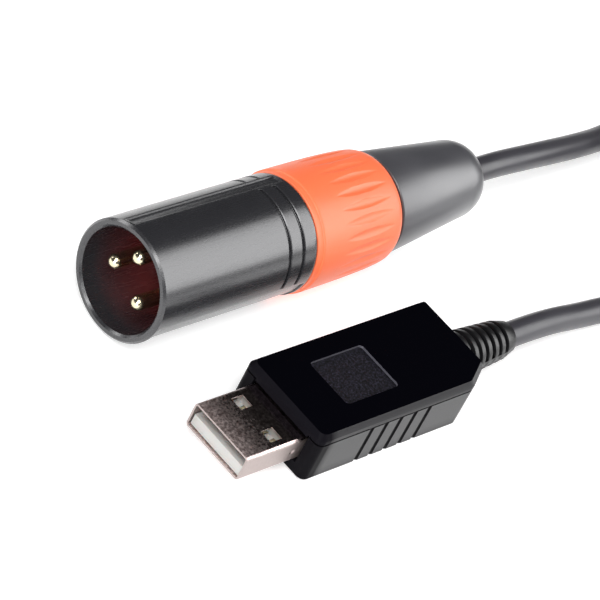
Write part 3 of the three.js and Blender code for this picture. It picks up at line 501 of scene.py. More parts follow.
def cut(piece, cutter):
    combine(piece, cutter, "DIFFERENCE")


def round_edges(piece, width, angle=35):
    """Rounds the edges that turn by more than the angle, in degrees."""
    apply_modifier(
        piece,
        "BEVEL",
        width=width,
        segments=ROUND_SEGMENTS,
        limit_method="ANGLE",
        angle_limit=math.radians(angle),
        use_clamp_overlap=True,
        miter_outer="MITER_ARC",
    )


def roll(piece, angle=-XLR_ROLL):
    """Turns a finished mesh about the XLR plug's axis, as the whole plug lies."""
    about = Matrix.Translation(XLR_AXIS)
    piece.data.transform(about @ Matrix.Rotation(angle, 4, "X") @ about.inverted())


def finish_piece(piece, material, slot, *nodes, body="lead", smooth=35, flat=False):
    """Gives the piece its finish and its body, and hides the frame nodes that it stands for. Edges
    that turn by less than the smooth angle, in degrees, don't show. Where the piece is flat, its
    rounded edges leave no shading on its flat faces."""
    activate(piece)
    if piece.type == "MESH":
        bpy.ops.object.shade_smooth_by_angle(angle=math.radians(smooth))
    if flat:
        apply_modifier(piece, "WEIGHTED_NORMAL", keep_sharp=True)
    if material:
        piece.data.materials.append(material)
    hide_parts(*nodes)
    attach(piece, body)
    return piece


# Finishes

MIX_FIRST, MIX_SECOND, MIX_RESULT = 6, 7, 2  # a Mix node's sockets for colours
NOISE_LOW, NOISE_HIGH = 0.3, 0.7  # most of a noise lies between these


def opaque(rgb):
    return (*rgb, 1.0)


def tones(base, low, high):
    """A colour times each of two factors."""
    return [opaque(min(1.0, part * factor) for part in base) for factor in (low, high)]


def add(material, kind, output, inputs, **settings):
    """Adds a node with its settings and returns one of its outputs. An input that is another
    node's output is linked."""
    tree = material.node_tree
    node = tree.nodes.new("ShaderNode" + kind)
    for key, value in settings.items():
        setattr(node, key, value)
    for key, value in inputs.items():
        if isinstance(value, bpy.types.NodeSocket):
            tree.links.new(value, node.inputs[key])
        else:
            node.inputs[key].default_value = value
    return node.outputs[output]


def base_finish(name, *patterns, **inputs):
    """A material whose shader has these values on its own sockets, and its patterns' outputs. A
    pattern is a noise where its Kind says nothing else. Its Grain is in millimetres, its Stretch
    scales its Object coordinates, and the rest are its node's inputs."""
    material = bpy.data.materials.new(name)
    material.use_nodes = True
    shader = material.node_tree.nodes["Principled BSDF"]
    for key, value in inputs.items():
        socket = shader.inputs[key.replace("_", " ")]
        socket.default_value = opaque(value) if socket.type == "RGBA" else value
    outputs = []
    for pattern in patterns:
        place = add(material, "TexCoord", "Object", {})
        if "Stretch" in pattern:
            mapping = {"Vector": place, "Scale": pattern.pop("Stretch")}
            place = add(material, "Mapping", "Vector", mapping)
        kind = pattern.pop("Kind", "TexNoise")
        scale = 1 / (pattern.pop("Grain") * MM)
        outputs.append(add(material, kind, "Fac", {"Vector": place, "Scale": scale, **pattern}))
    return material, *outputs


def vary(material, tint=None, gloss=None, relief=None, **links):
    """Varies the finish over the surface. The tint is given as a factor and the two colours that
    it mixes, the gloss as a pattern and its roughness at low and high, and the relief as a pattern
    and its depth in millimetres. Any other link goes to the socket that it names."""
    if tint:
        factor, first, second = tint
        inputs = {"Factor": factor, MIX_FIRST: first, MIX_SECOND: second}
        links["Base_Color"] = add(material, "Mix", MIX_RESULT, inputs, data_type="RGBA")
    if gloss:
        pattern, low, high = gloss
        inputs = {"Value": pattern, "From Min": NOISE_LOW, "From Max": NOISE_HIGH}
        inputs |= {"To Min": low, "To Max": high}
        links["Roughness"] = add(material, "MapRange", "Result", inputs)
    if relief:
        height, depth = relief
        inputs = {"Height": height, "Distance": depth * MM}
        links["Normal"] = add(material, "Bump", "Normal", inputs)
    shader = material.node_tree.nodes["Principled BSDF"]
    for key, value in links.items():
        material.node_tree.links.new(value, shader.inputs[key.replace("_", " ")])
    return material


def fade_along(material, letter, start, length, low, high, coordinates="Object"):
    """A value that goes from low to high over a length along X, Y or Z."""
    place = add(material, "TexCoord", coordinates, {})
    along = add(material, "SeparateXYZ", letter, {"Vector": place})
    inputs = {"Value": along, "From Min": start, "From Max": start + length}
    inputs |= {"To Min": low, "To Max": high}
    return add(material, "MapRange", "Result", inputs)


def fade_outward(material, axis, start, length, low, high):
    """A value that goes from low to high with the distance from an axis along X."""
    place = add(material, "TexCoord", "Object", {})
    inputs = {"Vector": place, "Location": (0, -axis.y, -axis.z), "Scale": (0, 1, 1)}
    across = add(material, "Mapping", "Vector", inputs)
    radius = add(material, "VectorMath", "Value", {0: across}, operation="LENGTH")
    inputs = {"Value": radius, "From Min": start, "From Max": start + length}
    inputs |= {"To Min": low, "To Max": high}
    return add(material, "MapRange", "Result", inputs)


def black_plated_zinc():
    """Die-cast zinc, polished and black plated: smooth and dark, with faint lengthwise wipe marks
    and a soft, slightly uneven gloss. Deep in its mouth maroon is painted on, a painted reflection
    of the insert. The marks are drawn coarser than real ones, so that they show."""
    material, cloud, wipe, fine = base_finish(
        "black_plated_zinc",
        {"Grain": 4.0, "Detail": 4.0},
        {"Grain": 0.35, "Detail": 4.0, "Roughness": 0.6, "Stretch": (0.08, 1, 1)},
        {"Grain": 0.3},
        Metallic=0.2,
        Specular_IOR_Level=1.0,
        Coat_Weight=0.1,
        Coat_Roughness=0.15,
    )
    dark, light = tones(colours().shell, 0.9, 1.12)
    inputs = {"Factor": cloud, MIX_FIRST: dark, MIX_SECOND: light}
    plated = add(material, "Mix", MIX_RESULT, inputs, data_type="RGBA")
    return vary(
        material,
        # The maroon mixed in here is a painted reflection of the insert, not the plating's own
        # colour
        tint=(painted_bore_reflection(material), plated, opaque(colours().insert)),
        gloss=(wipe, 0.24, 0.29),
        relief=(fine, 0.002),
    )


def painted_bore_reflection(material):
    """How much painted maroon, a painted reflection of the insert, lies on the plating: only inside
    the mouth, more with depth, up to the insert.
    """
    wall = sizes().mouth_diameter / 2 + BORE_SKIN
    insert = MOUTH_X + INSERT_FRONT
    inside = fade_outward(material, XLR_AXIS, wall, BORE_FADE, 1, 0)
    before = fade_along(material, "X", insert, INSERT_EDGE, 1, 0)
    deep = fade_along(material, "X", MOUTH_X + GLOW_START, GLOW_LENGTH, 0, GLOW_STRENGTH)
    seen = add(material, "Math", "Value", {0: inside, 1: before}, operation="MULTIPLY")
    return add(material, "Math", "Value", {0: seen, 1: deep}, operation="MULTIPLY")


def maroon_nylon():
    """Glass-filled nylon, moulded smooth: deep maroon, a little glossy, flecked with glass."""
    flecks = {"Grain": 0.5, "Detail": 5.0, "Roughness": 0.7}
    material, fleck = base_finish("maroon_nylon", flecks, IOR=1.53, Coat_Weight=0.3)
    return vary(
        material,
        tint=(fleck, *tones(colours().insert, 0.7, 1.5)),
        gloss=(fleck, 0.22, 0.38),
        relief=(fleck, 0.01),
    )


def gold_plate():
    """Thin gold over nickel on a turned or stamped contact: pale, with turning marks that are
    drawn coarser than real ones, so that they show."""
    turning = {"Grain": 0.12, "Stretch": (1, 0.15, 0.15)}
    material, marks = base_finish("gold_plate", turning, Metallic=1.0)
    tint = (marks, *tones(colours().gold, 0.9, 1.05))
    return vary(material, tint, gloss=(marks, 0.14, 0.26))


def orange_abs():
    """Injection moulded ABS, pigmented through: satin, a little deeper in tone where the moulding
    flowed slowly. Its spark-eroded grain is drawn coarser than a real one, so that it shows."""
    material, cloud, grain = base_finish(
        "orange_abs",
        {"Grain": 5.0, "Detail": 3.0},
        {"Grain": 0.22, "Roughness": 0.6},
        IOR=1.52,
        Specular_IOR_Level=0.4,
        Coat_Weight=0.1,
        Coat_Roughness=0.35,
        Subsurface_Weight=0.12,
        Subsurface_Scale=0.6 * MM,
        Subsurface_Radius=(1.0, 0.45, 0.2),
    )
    return vary(
        material,
        tint=(cloud, *tones(colours().ring, 0.94, 1.03)),
        gloss=(grain, 0.38, 0.52),
        relief=(grain, 0.006),
    )


def soft_rubber(name, base, roughness, pit, depth, sheen=0.0):
    """Moulded elastomer or PVC: dull black with a matt grain, slightly lighter rubbed patches and,
    where asked for, the satin sheen that handling gives it. The roughness is given at low and
    high, and the grain by its pits' width and depth in millimetres."""
    material, cloud, pits = base_finish(
        name,
        {"Grain": 6.0, "Detail": 4.0},
        {"Grain": pit, "Roughness": 0.6},
        IOR=1.5,
        Coat_Weight=sheen,
        Coat_Roughness=roughness[0] - 0.02,
    )
    return vary(
        material,
        tint=(cloud, *tones(base, 0.85, 1.2)),
        gloss=(cloud, *roughness),
        relief=(pits, depth),
    )


def ribbed_pvc():
    """Moulded PVC: black and satin on the ribs. Between them its reflection is all but taken away,
    which paints shade into the slots.
    """
    material = soft_rubber("ribbed_pvc", colours().relief, (0.36, 0.48), 0.3, 0.006)
    # Painted shade: the slots reflect almost nothing, so they read dark as if shaded
    shine = fade_outward(material, USB_AXIS, RELIEF_CORE / 2, RELIEF_SHINE, 0.02, 0.6)
    return vary(material, Specular_IOR_Level=shine)


def polished_abs():
    """Black ABS from a polished tool: a deep wet gloss with a very faint orange peel."""
    material, smear, wave = base_finish(
        "polished_abs",
        {"Grain": 7.0, "Detail": 5.0, "Roughness": 0.65},
        {"Grain": 3.0, "Detail": 1.0},
        Base_Color=colours().lid,
        IOR=1.45,
        Coat_Weight=0.2,
        Coat_Roughness=0.03,
    )
    return vary(material, gloss=(smear, 0.05, 0.1), relief=(wave, 0.002))


def speckled_recess():
    """The same ABS from a spark-eroded floor in the tool: fine pale speckle on violet black."""
    speckle = {"Grain": 0.34, "Detail": 4.0, "Roughness": 0.7}
    material, speck = base_finish("speckled_recess", speckle, IOR=1.3)
    inputs = {"Value": speck, "From Min": 0.45, "From Max": NOISE_HIGH}
    light = add(material, "MapRange", "Result", inputs)
    return vary(
        material,
        tint=(light, opaque(linear("#020204")), opaque(linear("#2b2937"))),
        gloss=(speck, 0.5, 0.7),
        relief=(speck, 0.03),
    )


def satin_abs(name, base, level):
    """Black ABS from a vapour-blasted tool: a satin whose reflection is turned down at its front
    end and towards its foot, which darkens them. Its grain is drawn coarser than a real one, so
    that it shows."""
    material, cloud, grain = base_finish(
        name,
        {"Grain": 6.0, "Detail": 3.0},
        {"Grain": 0.16, "Detail": 3.0, "Roughness": 0.6},
        IOR=1.52,
    )
    start = case_low.x + DULL_START
    # Reflection turned down at the front end and towards the foot, which darkens them
    front_fade = fade_along(material, "X", start, DULL_LENGTH, DULL_SHARE * level, level)
    foot_fade = fade_along(material, "Z", case_low.z, FOOT_HEIGHT, FOOT_SHARE, 1)
    shine = add(material, "Math", "Value", {0: front_fade, 1: foot_fade}, operation="MULTIPLY")
    return vary(
        material,
        tint=(cloud, *tones(base, 0.9, 1.15)),
        gloss=(grain, 0.3, 0.42),
        relief=(grain, 0.004),
        Specular_IOR_Level=shine,
    )


def nickel_sheet():
    """Bright nickel plate on stamped steel: brown-grey with dull handling spots. Its two broad
    faces are smoother towards the case, and elsewhere sockets have scuffed it matt."""
    handling = {"Grain": 0.45, "Detail": 6.0, "Roughness": 0.7}
    material, spots = base_finish("nickel_sheet", handling, Metallic=1.0)
    smooth = fade_along(material, "X", plug_low.x, SCUFF_LENGTH, 0, SCUFF_POLISH)
    facing = add(material, "TexCoord", "Normal", {})
    upright = add(material, "SeparateXYZ", "Z", {"Vector": facing})
    broad = add(material, "Math", "Value", {0: upright}, operation="ABSOLUTE")
    polish = add(material, "Math", "Value", {0: smooth, 1: broad}, operation="MULTIPLY")
    inputs = {"Value": spots, "From Min": NOISE_LOW, "From Max": NOISE_HIGH}
    inputs |= {"To Min": 0.38, "To Max": 0.54}
    dull = add(material, "MapRange", "Result", inputs)
    rough = add(material, "Math", "Value", {0: dull, 1: polish}, operation="SUBTRACT")
    inputs = {"Value": spots, "From Min": 0.38, "From Max": 0.62}
    patches = add(material, "MapRange", "Result", inputs)
    browned, bright = opaque(linear("#a8918e")), opaque(linear("#ffeeea"))
    inputs = {"Factor": patches, MIX_FIRST: browned, MIX_SECOND: bright}
    worn = add(material, "Mix", MIX_RESULT, inputs, data_type="RGBA")
    tint = (broad, opaque(colours().nickel), worn)
    return vary(material, tint, relief=(spots, 0.003), Roughness=rough)


def ivory_pbt():
    """Moulded PBT: ivory, smooth and a little translucent at its edges."""
    material, cloud = base_finish(
        "ivory_pbt",
        {"Grain": 1.5, "Detail": 3.0},
        IOR=1.55,
        Subsurface_Weight=0.15,
        Subsurface_Scale=0.5 * MM,
    )
    tint = (cloud, *tones(colours().ivory, 0.93, 1.03))
    return vary(material, tint, gloss=(cloud, 0.35, 0.5))


def circuit_board_laminate():
    """Glass laminate under green solder mask: glossy, with the weave faintly showing."""
    threads = {"Kind": "TexWave", "Grain": 1.2, "Distortion": 0.5}
    material, weave = base_finish("circuit_board_laminate", threads, IOR=1.5, Coat_Weight=0.3)
    inputs = {"Value": weave, "To Min": 0.3, "To Max": 0.4}
    rough = add(material, "MapRange", "Result", inputs)
    return vary(material, tint=(weave, *tones(colours().board, 0.85, 1.1)), Roughness=rough)


def plain_moulding(name, code, gloss):
    """A small inner piece: one pigment, with a faint cloud and grain."""
    material, cloud = base_finish(name, {"Grain": 0.4, "Detail": 3.0}, IOR=1.5)
    return vary(
        material,
        tint=(cloud, *tones(linear(code), 0.88, 1.1)),
        gloss=(cloud, gloss - 0.05, gloss + 0.08),
        relief=(cloud, 0.004),
    )


def lit_acrylic():
    """White acrylic sheet lit from behind: a pale, even floor with only a faint shadow."""
    material, cloud = base_finish(
        "lit_acrylic",
        {"Grain": 60.0},
        IOR=1.45,
        Emission_Color=linear("#ffffff"),
        Emission_Strength=0.4,
    )
    tint = (cloud, *tones(colours().floor, 0.985, 1.0))
    return vary(material, tint, gloss=(cloud, 0.6, 0.7))


# The stage


class LEAD_OT_stage(bpy.types.Operator):
    """Add the camera, the pale floor and the soft studio light"""

    bl_idname = "lead.stage"
    bl_label = "Stage"

    def execute(self, context):
        self.add_camera(context)
        self.add_floor()
        for softbox in SOFTBOXES:
            self.add_softbox(*softbox)
        self.add_surround(context)
        context.scene.view_settings.view_transform = "Standard"
        return {"FINISHED"}

    def add_camera(self, context):
        """A long lens, looking down 37 degrees and rolled by 28"""
        deselect()
        bpy.ops.object.camera_add(location=CAMERA_PLACE)
        camera = context.object
        camera.name = "camera"
        back = CAMERA_RIGHT.cross(CAMERA_UP)
        turn = Matrix((CAMERA_RIGHT, CAMERA_UP, back)).transposed()
        camera.rotation_euler = turn.to_euler()
        camera.data.lens = CAMERA_LENS
        camera.data.sensor_width = CAMERA_SENSOR
        camera.data.clip_start = CAMERA_CLIP
        context.scene.camera = camera

    def add_floor(self):
        deselect()
        bpy.ops.mesh.primitive_plane_add(size=FLOOR_SIZE, enter_editmode=True)
        bpy.ops.mesh.subdivide(number_cuts=FLOOR_CUTS)
        floor = close_piece("floor")
        floor.data.materials.append(lit_acrylic())

    def add_softbox(self, name, place, width, height, power):
        deselect()
        bpy.ops.object.light_add(type="AREA", location=place)
        lamp = bpy.context.object
        lamp.name = name
        lamp.data.shape = "RECTANGLE"
        lamp.data.size = width
        lamp.data.size_y = height
        lamp.data.energy = power
        aim = SOFTBOX_AIM - Vector(place)
        lamp.rotation_euler = aim.to_track_quat("-Z", "Y").to_euler()

    def add_surround(self, context):
        """An even white surround that is dimmer overhead"""
        world = bpy.data.worlds.new("surround")
        context.scene.world = world
        world.use_nodes = True
        span = (DIMMING_START, DIMMING_SPAN)
        levels = (SURROUND_LEVEL, OVERHEAD_LEVEL)
        level = fade_along(world, "Z", *span, *levels, coordinates="Generated")
        background = world.node_tree.nodes["Background"]
        world.node_tree.links.new(level, background.inputs["Strength"])


# The cable


def smooth_route(points):
    """A smooth curve through points in millimetres, in short steps between each two."""
    points = [Vector(point) * MM for point in points]
    ends = [points[0] * 2 - points[1], *points, points[-1] * 2 - points[-2]]
    route = []
    for a, b, c, d in zip(ends, ends[1:], ends[2:], ends[3:]):
        bend = 2 * a - 5 * b + 4 * c - d
        twist = 3 * b - a - 3 * c + d
        for i in range(LEAD_STEPS):
            t = i / LEAD_STEPS
            route.append((2 * b + (c - a) * t + bend * t**2 + twist * t**3) / 2)
    route.append(points[-1])
    return route


def smoothstep(value):
    value = min(max(value, 0.0), 1.0)
    return value * value * (3 - 2 * value)


def coil_point(turn):
    """A place on the coil, which spirals in and out and climbs where the spiral reverses."""
    turns_per_layer = COIL_TURNS / COIL_LAYERS
    span = turns_per_layer * COIL_PITCH
    outside = (COIL_MEAN_DIAMETER + span) / 2
    phase = turn / turns_per_layer % 2
    radius = outside - span * (phase if phase < 1 else 2 - phase)
    climbs = sum(
        smoothstep((turn - k * turns_per_layer) / CLIMB_SHARE + 0.5)
        for k in range(1, COIL_LAYERS)
    )
    angle = math.pi / 2 - 2 * math.pi * turn
    around = Vector((radius * math.cos(angle), radius * math.sin(angle), 0))
    return COIL_CENTRE + around + Vector((0, 0, COIL_BASE + COIL_PITCH * climbs))


class LEAD_OT_cable(bpy.types.Operator):
    """Add the cable with its two leads and coil, and the tie round the coil"""

    bl_idname = "lead.cable"
    bl_label = "Cable"

    def execute(self, context):
        tie = self.add_tie()
        count = round(COIL_TURNS * COIL_STEPS)
        coil = [coil_point(i / count * COIL_TURNS) for i in range(count + 1)]
        route = smooth_route(XLR_LEAD) + coil + smooth_route(USB_LEAD)[::-1]
        cable = bpy.data.objects.new("cable", self.tube(route))
        context.scene.collection.objects.link(cable)
        jacket = soft_rubber("pvc_jacket", colours().jacket, (0.3, 0.44), 0.3, 0.006)
        nodes = ("cord_xlr_lead", "cord_coil", "cord_usb_lead")
        finish_piece(cable, jacket, "cable_jacket", *nodes)
        return {"FINISHED"}

    def add_tie(self):
        """The frame's flat band, its edges rounded"""
        tie = merged_copy("cable_tie", "coil_tie")
        round_edges(tie, sizes().edge_round, angle=50)
        strap = soft_rubber("tie_webbing", linear("#121214"), (0.54, 0.68), 0.35, 0.05)
        return finish_piece(tie, strap, "tie_strap", "cable_tie")

    def tube(self, route):
        curve = bpy.data.curves.new("cable", "CURVE")
        curve.dimensions = "3D"
        curve.bevel_depth = CABLE_DIAMETER / 2
        curve.bevel_resolution = CABLE_ROUNDNESS
        curve.use_fill_caps = True
        curve.twist_mode = "MINIMUM"
        spline = curve.splines.new("POLY")
        spline.points.add(len(route) - 1)
        for point, place in zip(spline.points, route):
            point.co = (*place, 1.0)
        spline.use_smooth = True
        return curve


# The XLR plug, modelled upright along its axis and then rolled over


def from_top(place):
    """The turn of a place round the XLR plug's axis, in degrees from its top towards -Y."""
    return math.degrees(math.atan2(XLR_AXIS.y - place.y, place.z - XLR_AXIS.z)) % 360


def off_axis(place):
    return math.hypot(place.y - XLR_AXIS.y, place.z - XLR_AXIS.z)


def sink_selected(radius, deeper, centre=XLR_AXIS, narrowing=1.0):
    """Draws the selected faces of a turned surface in towards its axis, and narrower along it."""
    extrude_selected()
    factor = deeper / radius
    scale_selected((narrowing, factor, factor), centre)


class LEAD_OT_xlr_shell(bpy.types.Operator):
    """Turn the XLR barrel, sink its strips and grooves, and add the ring's thread"""

    bl_idname = "lead.xlr_shell"
    bl_label = "XLR shell"

    def execute(self, context):
        shell = self.turn_barrel()
        self.sink_strips(shell)
        for middle in GROOVE_MIDDLES:
            self.sink_groove(shell, middle)
        round_edges(shell, sizes().edge_round, angle=50)
        combine(shell, self.model_thread())
        roll(shell)
        finish_piece(shell, black_plated_zinc(), "shell_metal", "xlr_shell")
        return {"FINISHED"}

    def turn_barrel(self):
        """The barrel with its bore, turned by half a side so that the strips end at its edges"""
        outside = sizes().shell_diameter
        mouth = sizes().mouth_diameter
        spigot_end = shell_high.x - MOUTH_X
        stations = [
            (0, outside - 2 * RIM_CHAMFER),
            (RIM_CHAMFER, outside),
            (STRIP_FRONT, outside),
        ]
        for middle in GROOVE_MIDDLES:
            stations.append((middle - GROOVE_WIDTH / 2, outside))
            stations.append((middle + GROOVE_WIDTH / 2, outside))
        stations += [
            (SHOULDER - SHOULDER_BAND, outside),
            (SHOULDER, outside),
            (SHOULDER, SPIGOT_DIAMETER),
            (spigot_end, SPIGOT_DIAMETER),
            (spigot_end, SPIGOT_BORE),
            (LIP_BACK, SPIGOT_BORE),
            (LIP_BACK, LIP_BORE),
            (LIP_FRONT, LIP_BORE),
            (LIP_FRONT, mouth),
            (RIM_CHAMFER, mouth),
            (0, mouth + 2 * RIM_CHAMFER),
            (0, outside - 2 * RIM_CHAMFER),
        ]
        shell = turned("xlr_barrel", stations, SHELL_SIDES, XLR_AXIS, start=MOUTH_X)
        roll(shell, math.pi / SHELL_SIDES)
        return shell

    def sink_strips(self, shell):
        outside = sizes().shell_diameter / 2
        open_piece(shell)
        select_faces(
            lambda place, normal: STRIP_FRONT < place.x - MOUTH_X < SHOULDER - SHOULDER_BAND
            and off_axis(place) > outside - STRIP_DEPTH
            and any(start < from_top(place) < end for start, end in (TOP_STRIP, LOW_STRIP))
        )
        sink_selected(outside, outside - STRIP_DEPTH)
        mend_normals()
        close_piece()

    def sink_groove(self, shell, middle):
        """A groove with a chamfered lip and upright walls, between the strips"""
        outside = sizes().shell_diameter / 2
        land = 360 / SHELL_SIDES
        between = (TOP_STRIP[1] + land, LOW_STRIP[0] - land)
        beyond = (TOP_STRIP[0] - land, LOW_STRIP[1] + land)
        open_piece(shell)
        select_faces(
            lambda place, normal: abs(place.x - MOUTH_X - middle) < GROOVE_WIDTH / 2
            and off_axis(place) > outside - STRIP_DEPTH / 2
            and abs(normal.x) < FACING
            and (
                between[0] < from_top(place) < between[1]
                or not beyond[0] < from_top(place) < beyond[1]
            )
        )
        centre = XLR_AXIS + Vector((MOUTH_X + middle, 0, 0))
        radius = outside
        for depth_share, narrowing in GROOVE_PROFILE:
            deeper = outside - GROOVE_DEPTH * depth_share
            sink_selected(radius, deeper, centre, narrowing)
            radius = deeper
        mend_normals()
        close_piece()

    def model_thread(self):
        """One ridge drawn round the spigot by a screw modifier, its two ends closed"""
        root = SPIGOT_DIAMETER / 2 - THREAD_HEIGHT / 2
        crest = SPIGOT_DIAMETER / 2 + THREAD_HEIGHT
        middle = Vector((0, 0, (root + crest) / 2))
        deselect()
        bpy.ops.mesh.primitive_plane_add(
            size=1, rotation=(math.pi / 2, 0, 0), location=middle, enter_editmode=True
        )
        scale_selected((THREAD_FOOT, 1, crest - root), middle)
        bpy.ops.mesh.delete(type="ONLY_FACE")
        thread = close_piece("thread")
        open_piece(thread, "EDGE")
        select_edges(lambda a, b: min(a.z, b.z) > middle.z)
        scale_selected((THREAD_FLAT_SHARE, 1, 1), middle)
        apply_modifier(
            thread,
            "SCREW",
            axis="X",
            angle=2 * math.pi,
            iterations=THREAD_TURNS,
            screw_offset=THREAD_PITCH,
            steps=THREAD_STEPS,
            render_steps=THREAD_STEPS,
            use_merge_vertices=True,
            merge_threshold=MERGE_DISTANCE,
        )
        length = THREAD_PITCH * THREAD_TURNS
        for start in (0, length):
            open_piece(thread, "EDGE")
            select_edges(
                lambda a, b: all(
                    abs(end.x - start) < THREAD_FOOT and abs(end.y) < NEARLY and end.z > 0
                    for end in (a, b)
                )
            )
            bpy.ops.mesh.edge_face_add()
        mend_normals()
        close_piece()
        front = MOUTH_X + SHOULDER + (shell_high.x - MOUTH_X - SHOULDER - length) / 2
        thread.data.transform(Matrix.Translation((front, XLR_AXIS.y, XLR_AXIS.z)))
        return thread


class LEAD_OT_insert(bpy.types.Operator):
    """Turn the XLR insert, drill it for the pins, and turn one pin and copy it"""

    bl_idname = "lead.insert"
    bl_label = "XLR insert and pins"

    def execute(self, context):
        places = [self.pin_place(math.radians(angle)) for angle in PIN_ANGLES]
        insert = self.model_insert(places)
        roll(insert)
        finish_piece(insert, maroon_nylon(), "insert_plastic", "xlr_insert")
        master = self.model_pin()
        gold = gold_plate()
        for number, place in enumerate(places, 1):
            pin = copied(master, f"pin_{number}", place)
            roll(pin)
            finish_piece(pin, gold, "gold_plate", f"xlr_pin_{number}")
        bpy.data.objects.remove(master)
        return {"FINISHED"}

    def pin_place(self, angle):
        return Vector((0, -math.sin(angle), math.cos(angle))) * PIN_CIRCLE / 2

    def model_insert(self, places):
        stations = [
            (INSERT_FRONT, NOSE_DIAMETER - 2 * INSERT_EDGE),
            (INSERT_FRONT + INSERT_EDGE, NOSE_DIAMETER),
            (INSERT_FLANGE_FRONT, NOSE_DIAMETER),
            (INSERT_FLANGE_FRONT, INSERT_FLANGE_DIAMETER),
            (INSERT_BACK, INSERT_FLANGE_DIAMETER),
        ]
        insert = turned("insert", stations, INSERT_SIDES, XLR_AXIS, caps=True, start=MOUTH_X)
        front = MOUTH_X + INSERT_FRONT - OVERCUT
        back = MOUTH_X + INSERT_BACK + OVERCUT
        for place in places:
            cut(insert, rod("drill", front, back, PIN_HOLE, XLR_AXIS + place, PIN_HOLE_SIDES))
        round_edges(insert, sizes().edge_round)
        return insert

    def model_pin(self):
        """A round nose in front, and a half-open solder cup behind"""
        stations = []
        for i in range(1, PIN_NOSE_STEPS + 1):
            turn = i / PIN_NOSE_STEPS * math.pi / 2
            x = PIN_FRONT + PIN_DIAMETER / 2 * (1 - math.cos(turn))
            stations.append((x, PIN_DIAMETER * math.sin(turn)))
        stations += [
            (PIN_BACK, PIN_DIAMETER),
            (PIN_BACK, PIN_DIAMETER - 2 * CUP_WALL),
            (PIN_BACK - CUP_DEPTH, PIN_DIAMETER - 2 * CUP_WALL),
        ]
        pin = turned("pin", stations, PIN_SIDES, XLR_AXIS, caps=True, start=MOUTH_X)
        end = XLR_AXIS + Vector((MOUTH_X + PIN_BACK, 0, 0))
        low = end - Vector((CUP_DEPTH, PIN_DIAMETER, 0))
        high = end + Vector((OVERCUT, PIN_DIAMETER, PIN_DIAMETER))
        cut(pin, box("cup_opening", low, high))
        return pin


class LEAD_OT_ring(bpy.types.Operator):
    """Turn the screw ring with its collar and press its pointed flutes in"""

    bl_idname = "lead.ring"
    bl_label = "Screw ring"

    def execute(self, context):
        sides = FLUTE_SIDES * sizes().flute_count
        ring = turned("ring", self.stations(), sides, XLR_AXIS)
        self.press_flutes(ring)
        roll(ring)
        finish_piece(ring, orange_abs(), "ring_plastic", "screw_ring", body="ring", smooth=28)
        return {"FINISHED"}

    def stations(self):
        front = ring_low.x
        end = ring_high.x
        lip = end - RING_LIP
        pocket = lip - RING_POCKET
        collar = RING_FRONT_DIAMETER
        waist = sizes().ring_diameter
        step = front + COLLAR_WIDTH
        stations = [
            (front, RING_BORE),
            (front, collar - 2 * FINE_ROUND),
            (front + FINE_ROUND, collar),
            (step - FINE_ROUND, collar),
            (step, collar + FINE_ROUND),
            (step + COLLAR_STEP / 2, waist - FINE_ROUND),
        ]
        start = step + COLLAR_STEP
        span = end - RING_EDGE - start
        for i in range(RING_ARCH_STEPS + 1):
            share = i / RING_ARCH_STEPS
            swell = (waist - RING_REAR_DIAMETER) * math.sqrt(1 - share**2)
            stations.append((start + span * share, RING_REAR_DIAMETER + swell))
        for back, down in RING_EDGE_PROFILE:
            stations.append((end - RING_EDGE * back, RING_REAR_DIAMETER - 2 * RING_EDGE * down))
        stations += [
            (end, RING_NECK_DIAMETER),
            (lip, RING_NECK_DIAMETER),
            (lip, RING_POCKET_DIAMETER),
            (pocket, RING_POCKET_DIAMETER),
            (pocket, RING_BORE),
            (front, RING_BORE),
        ]
        return stations

    def press_flutes(self, ring):
        """Each flute is a lens in plan, deepest along its middle line"""
        middle = ring_high.x - FLUTE_SETBACK - FLUTE_LENGTH / 2
        step = 2 * math.pi / sizes().flute_count
        inside_wall = (RING_BORE + RING_REAR_DIAMETER) / 4
        group = ring.vertex_groups.new(name="flutes")
        for vertex in ring.data.vertices:
            along = (vertex.co.x - middle) / (FLUTE_LENGTH / 2)
            radius = off_axis(vertex.co)
            if abs(along) >= 1 or radius < inside_wall:
                continue
            turns = math.radians(from_top(vertex.co)) / step
            across = abs(turns - round(turns)) * step * radius
            width = sizes().flute_width / 2 * (1 - along**2)
            if across < width:
                weight = (1 - along**2) * (1 - (across / width) ** 2)
                group.add([vertex.index], weight, "REPLACE")
        apply_modifier(
            ring,
            "DISPLACE",
            vertex_group="flutes",
            direction="NORMAL",
            strength=-sizes().flute_depth,
            mid_level=0,
        )


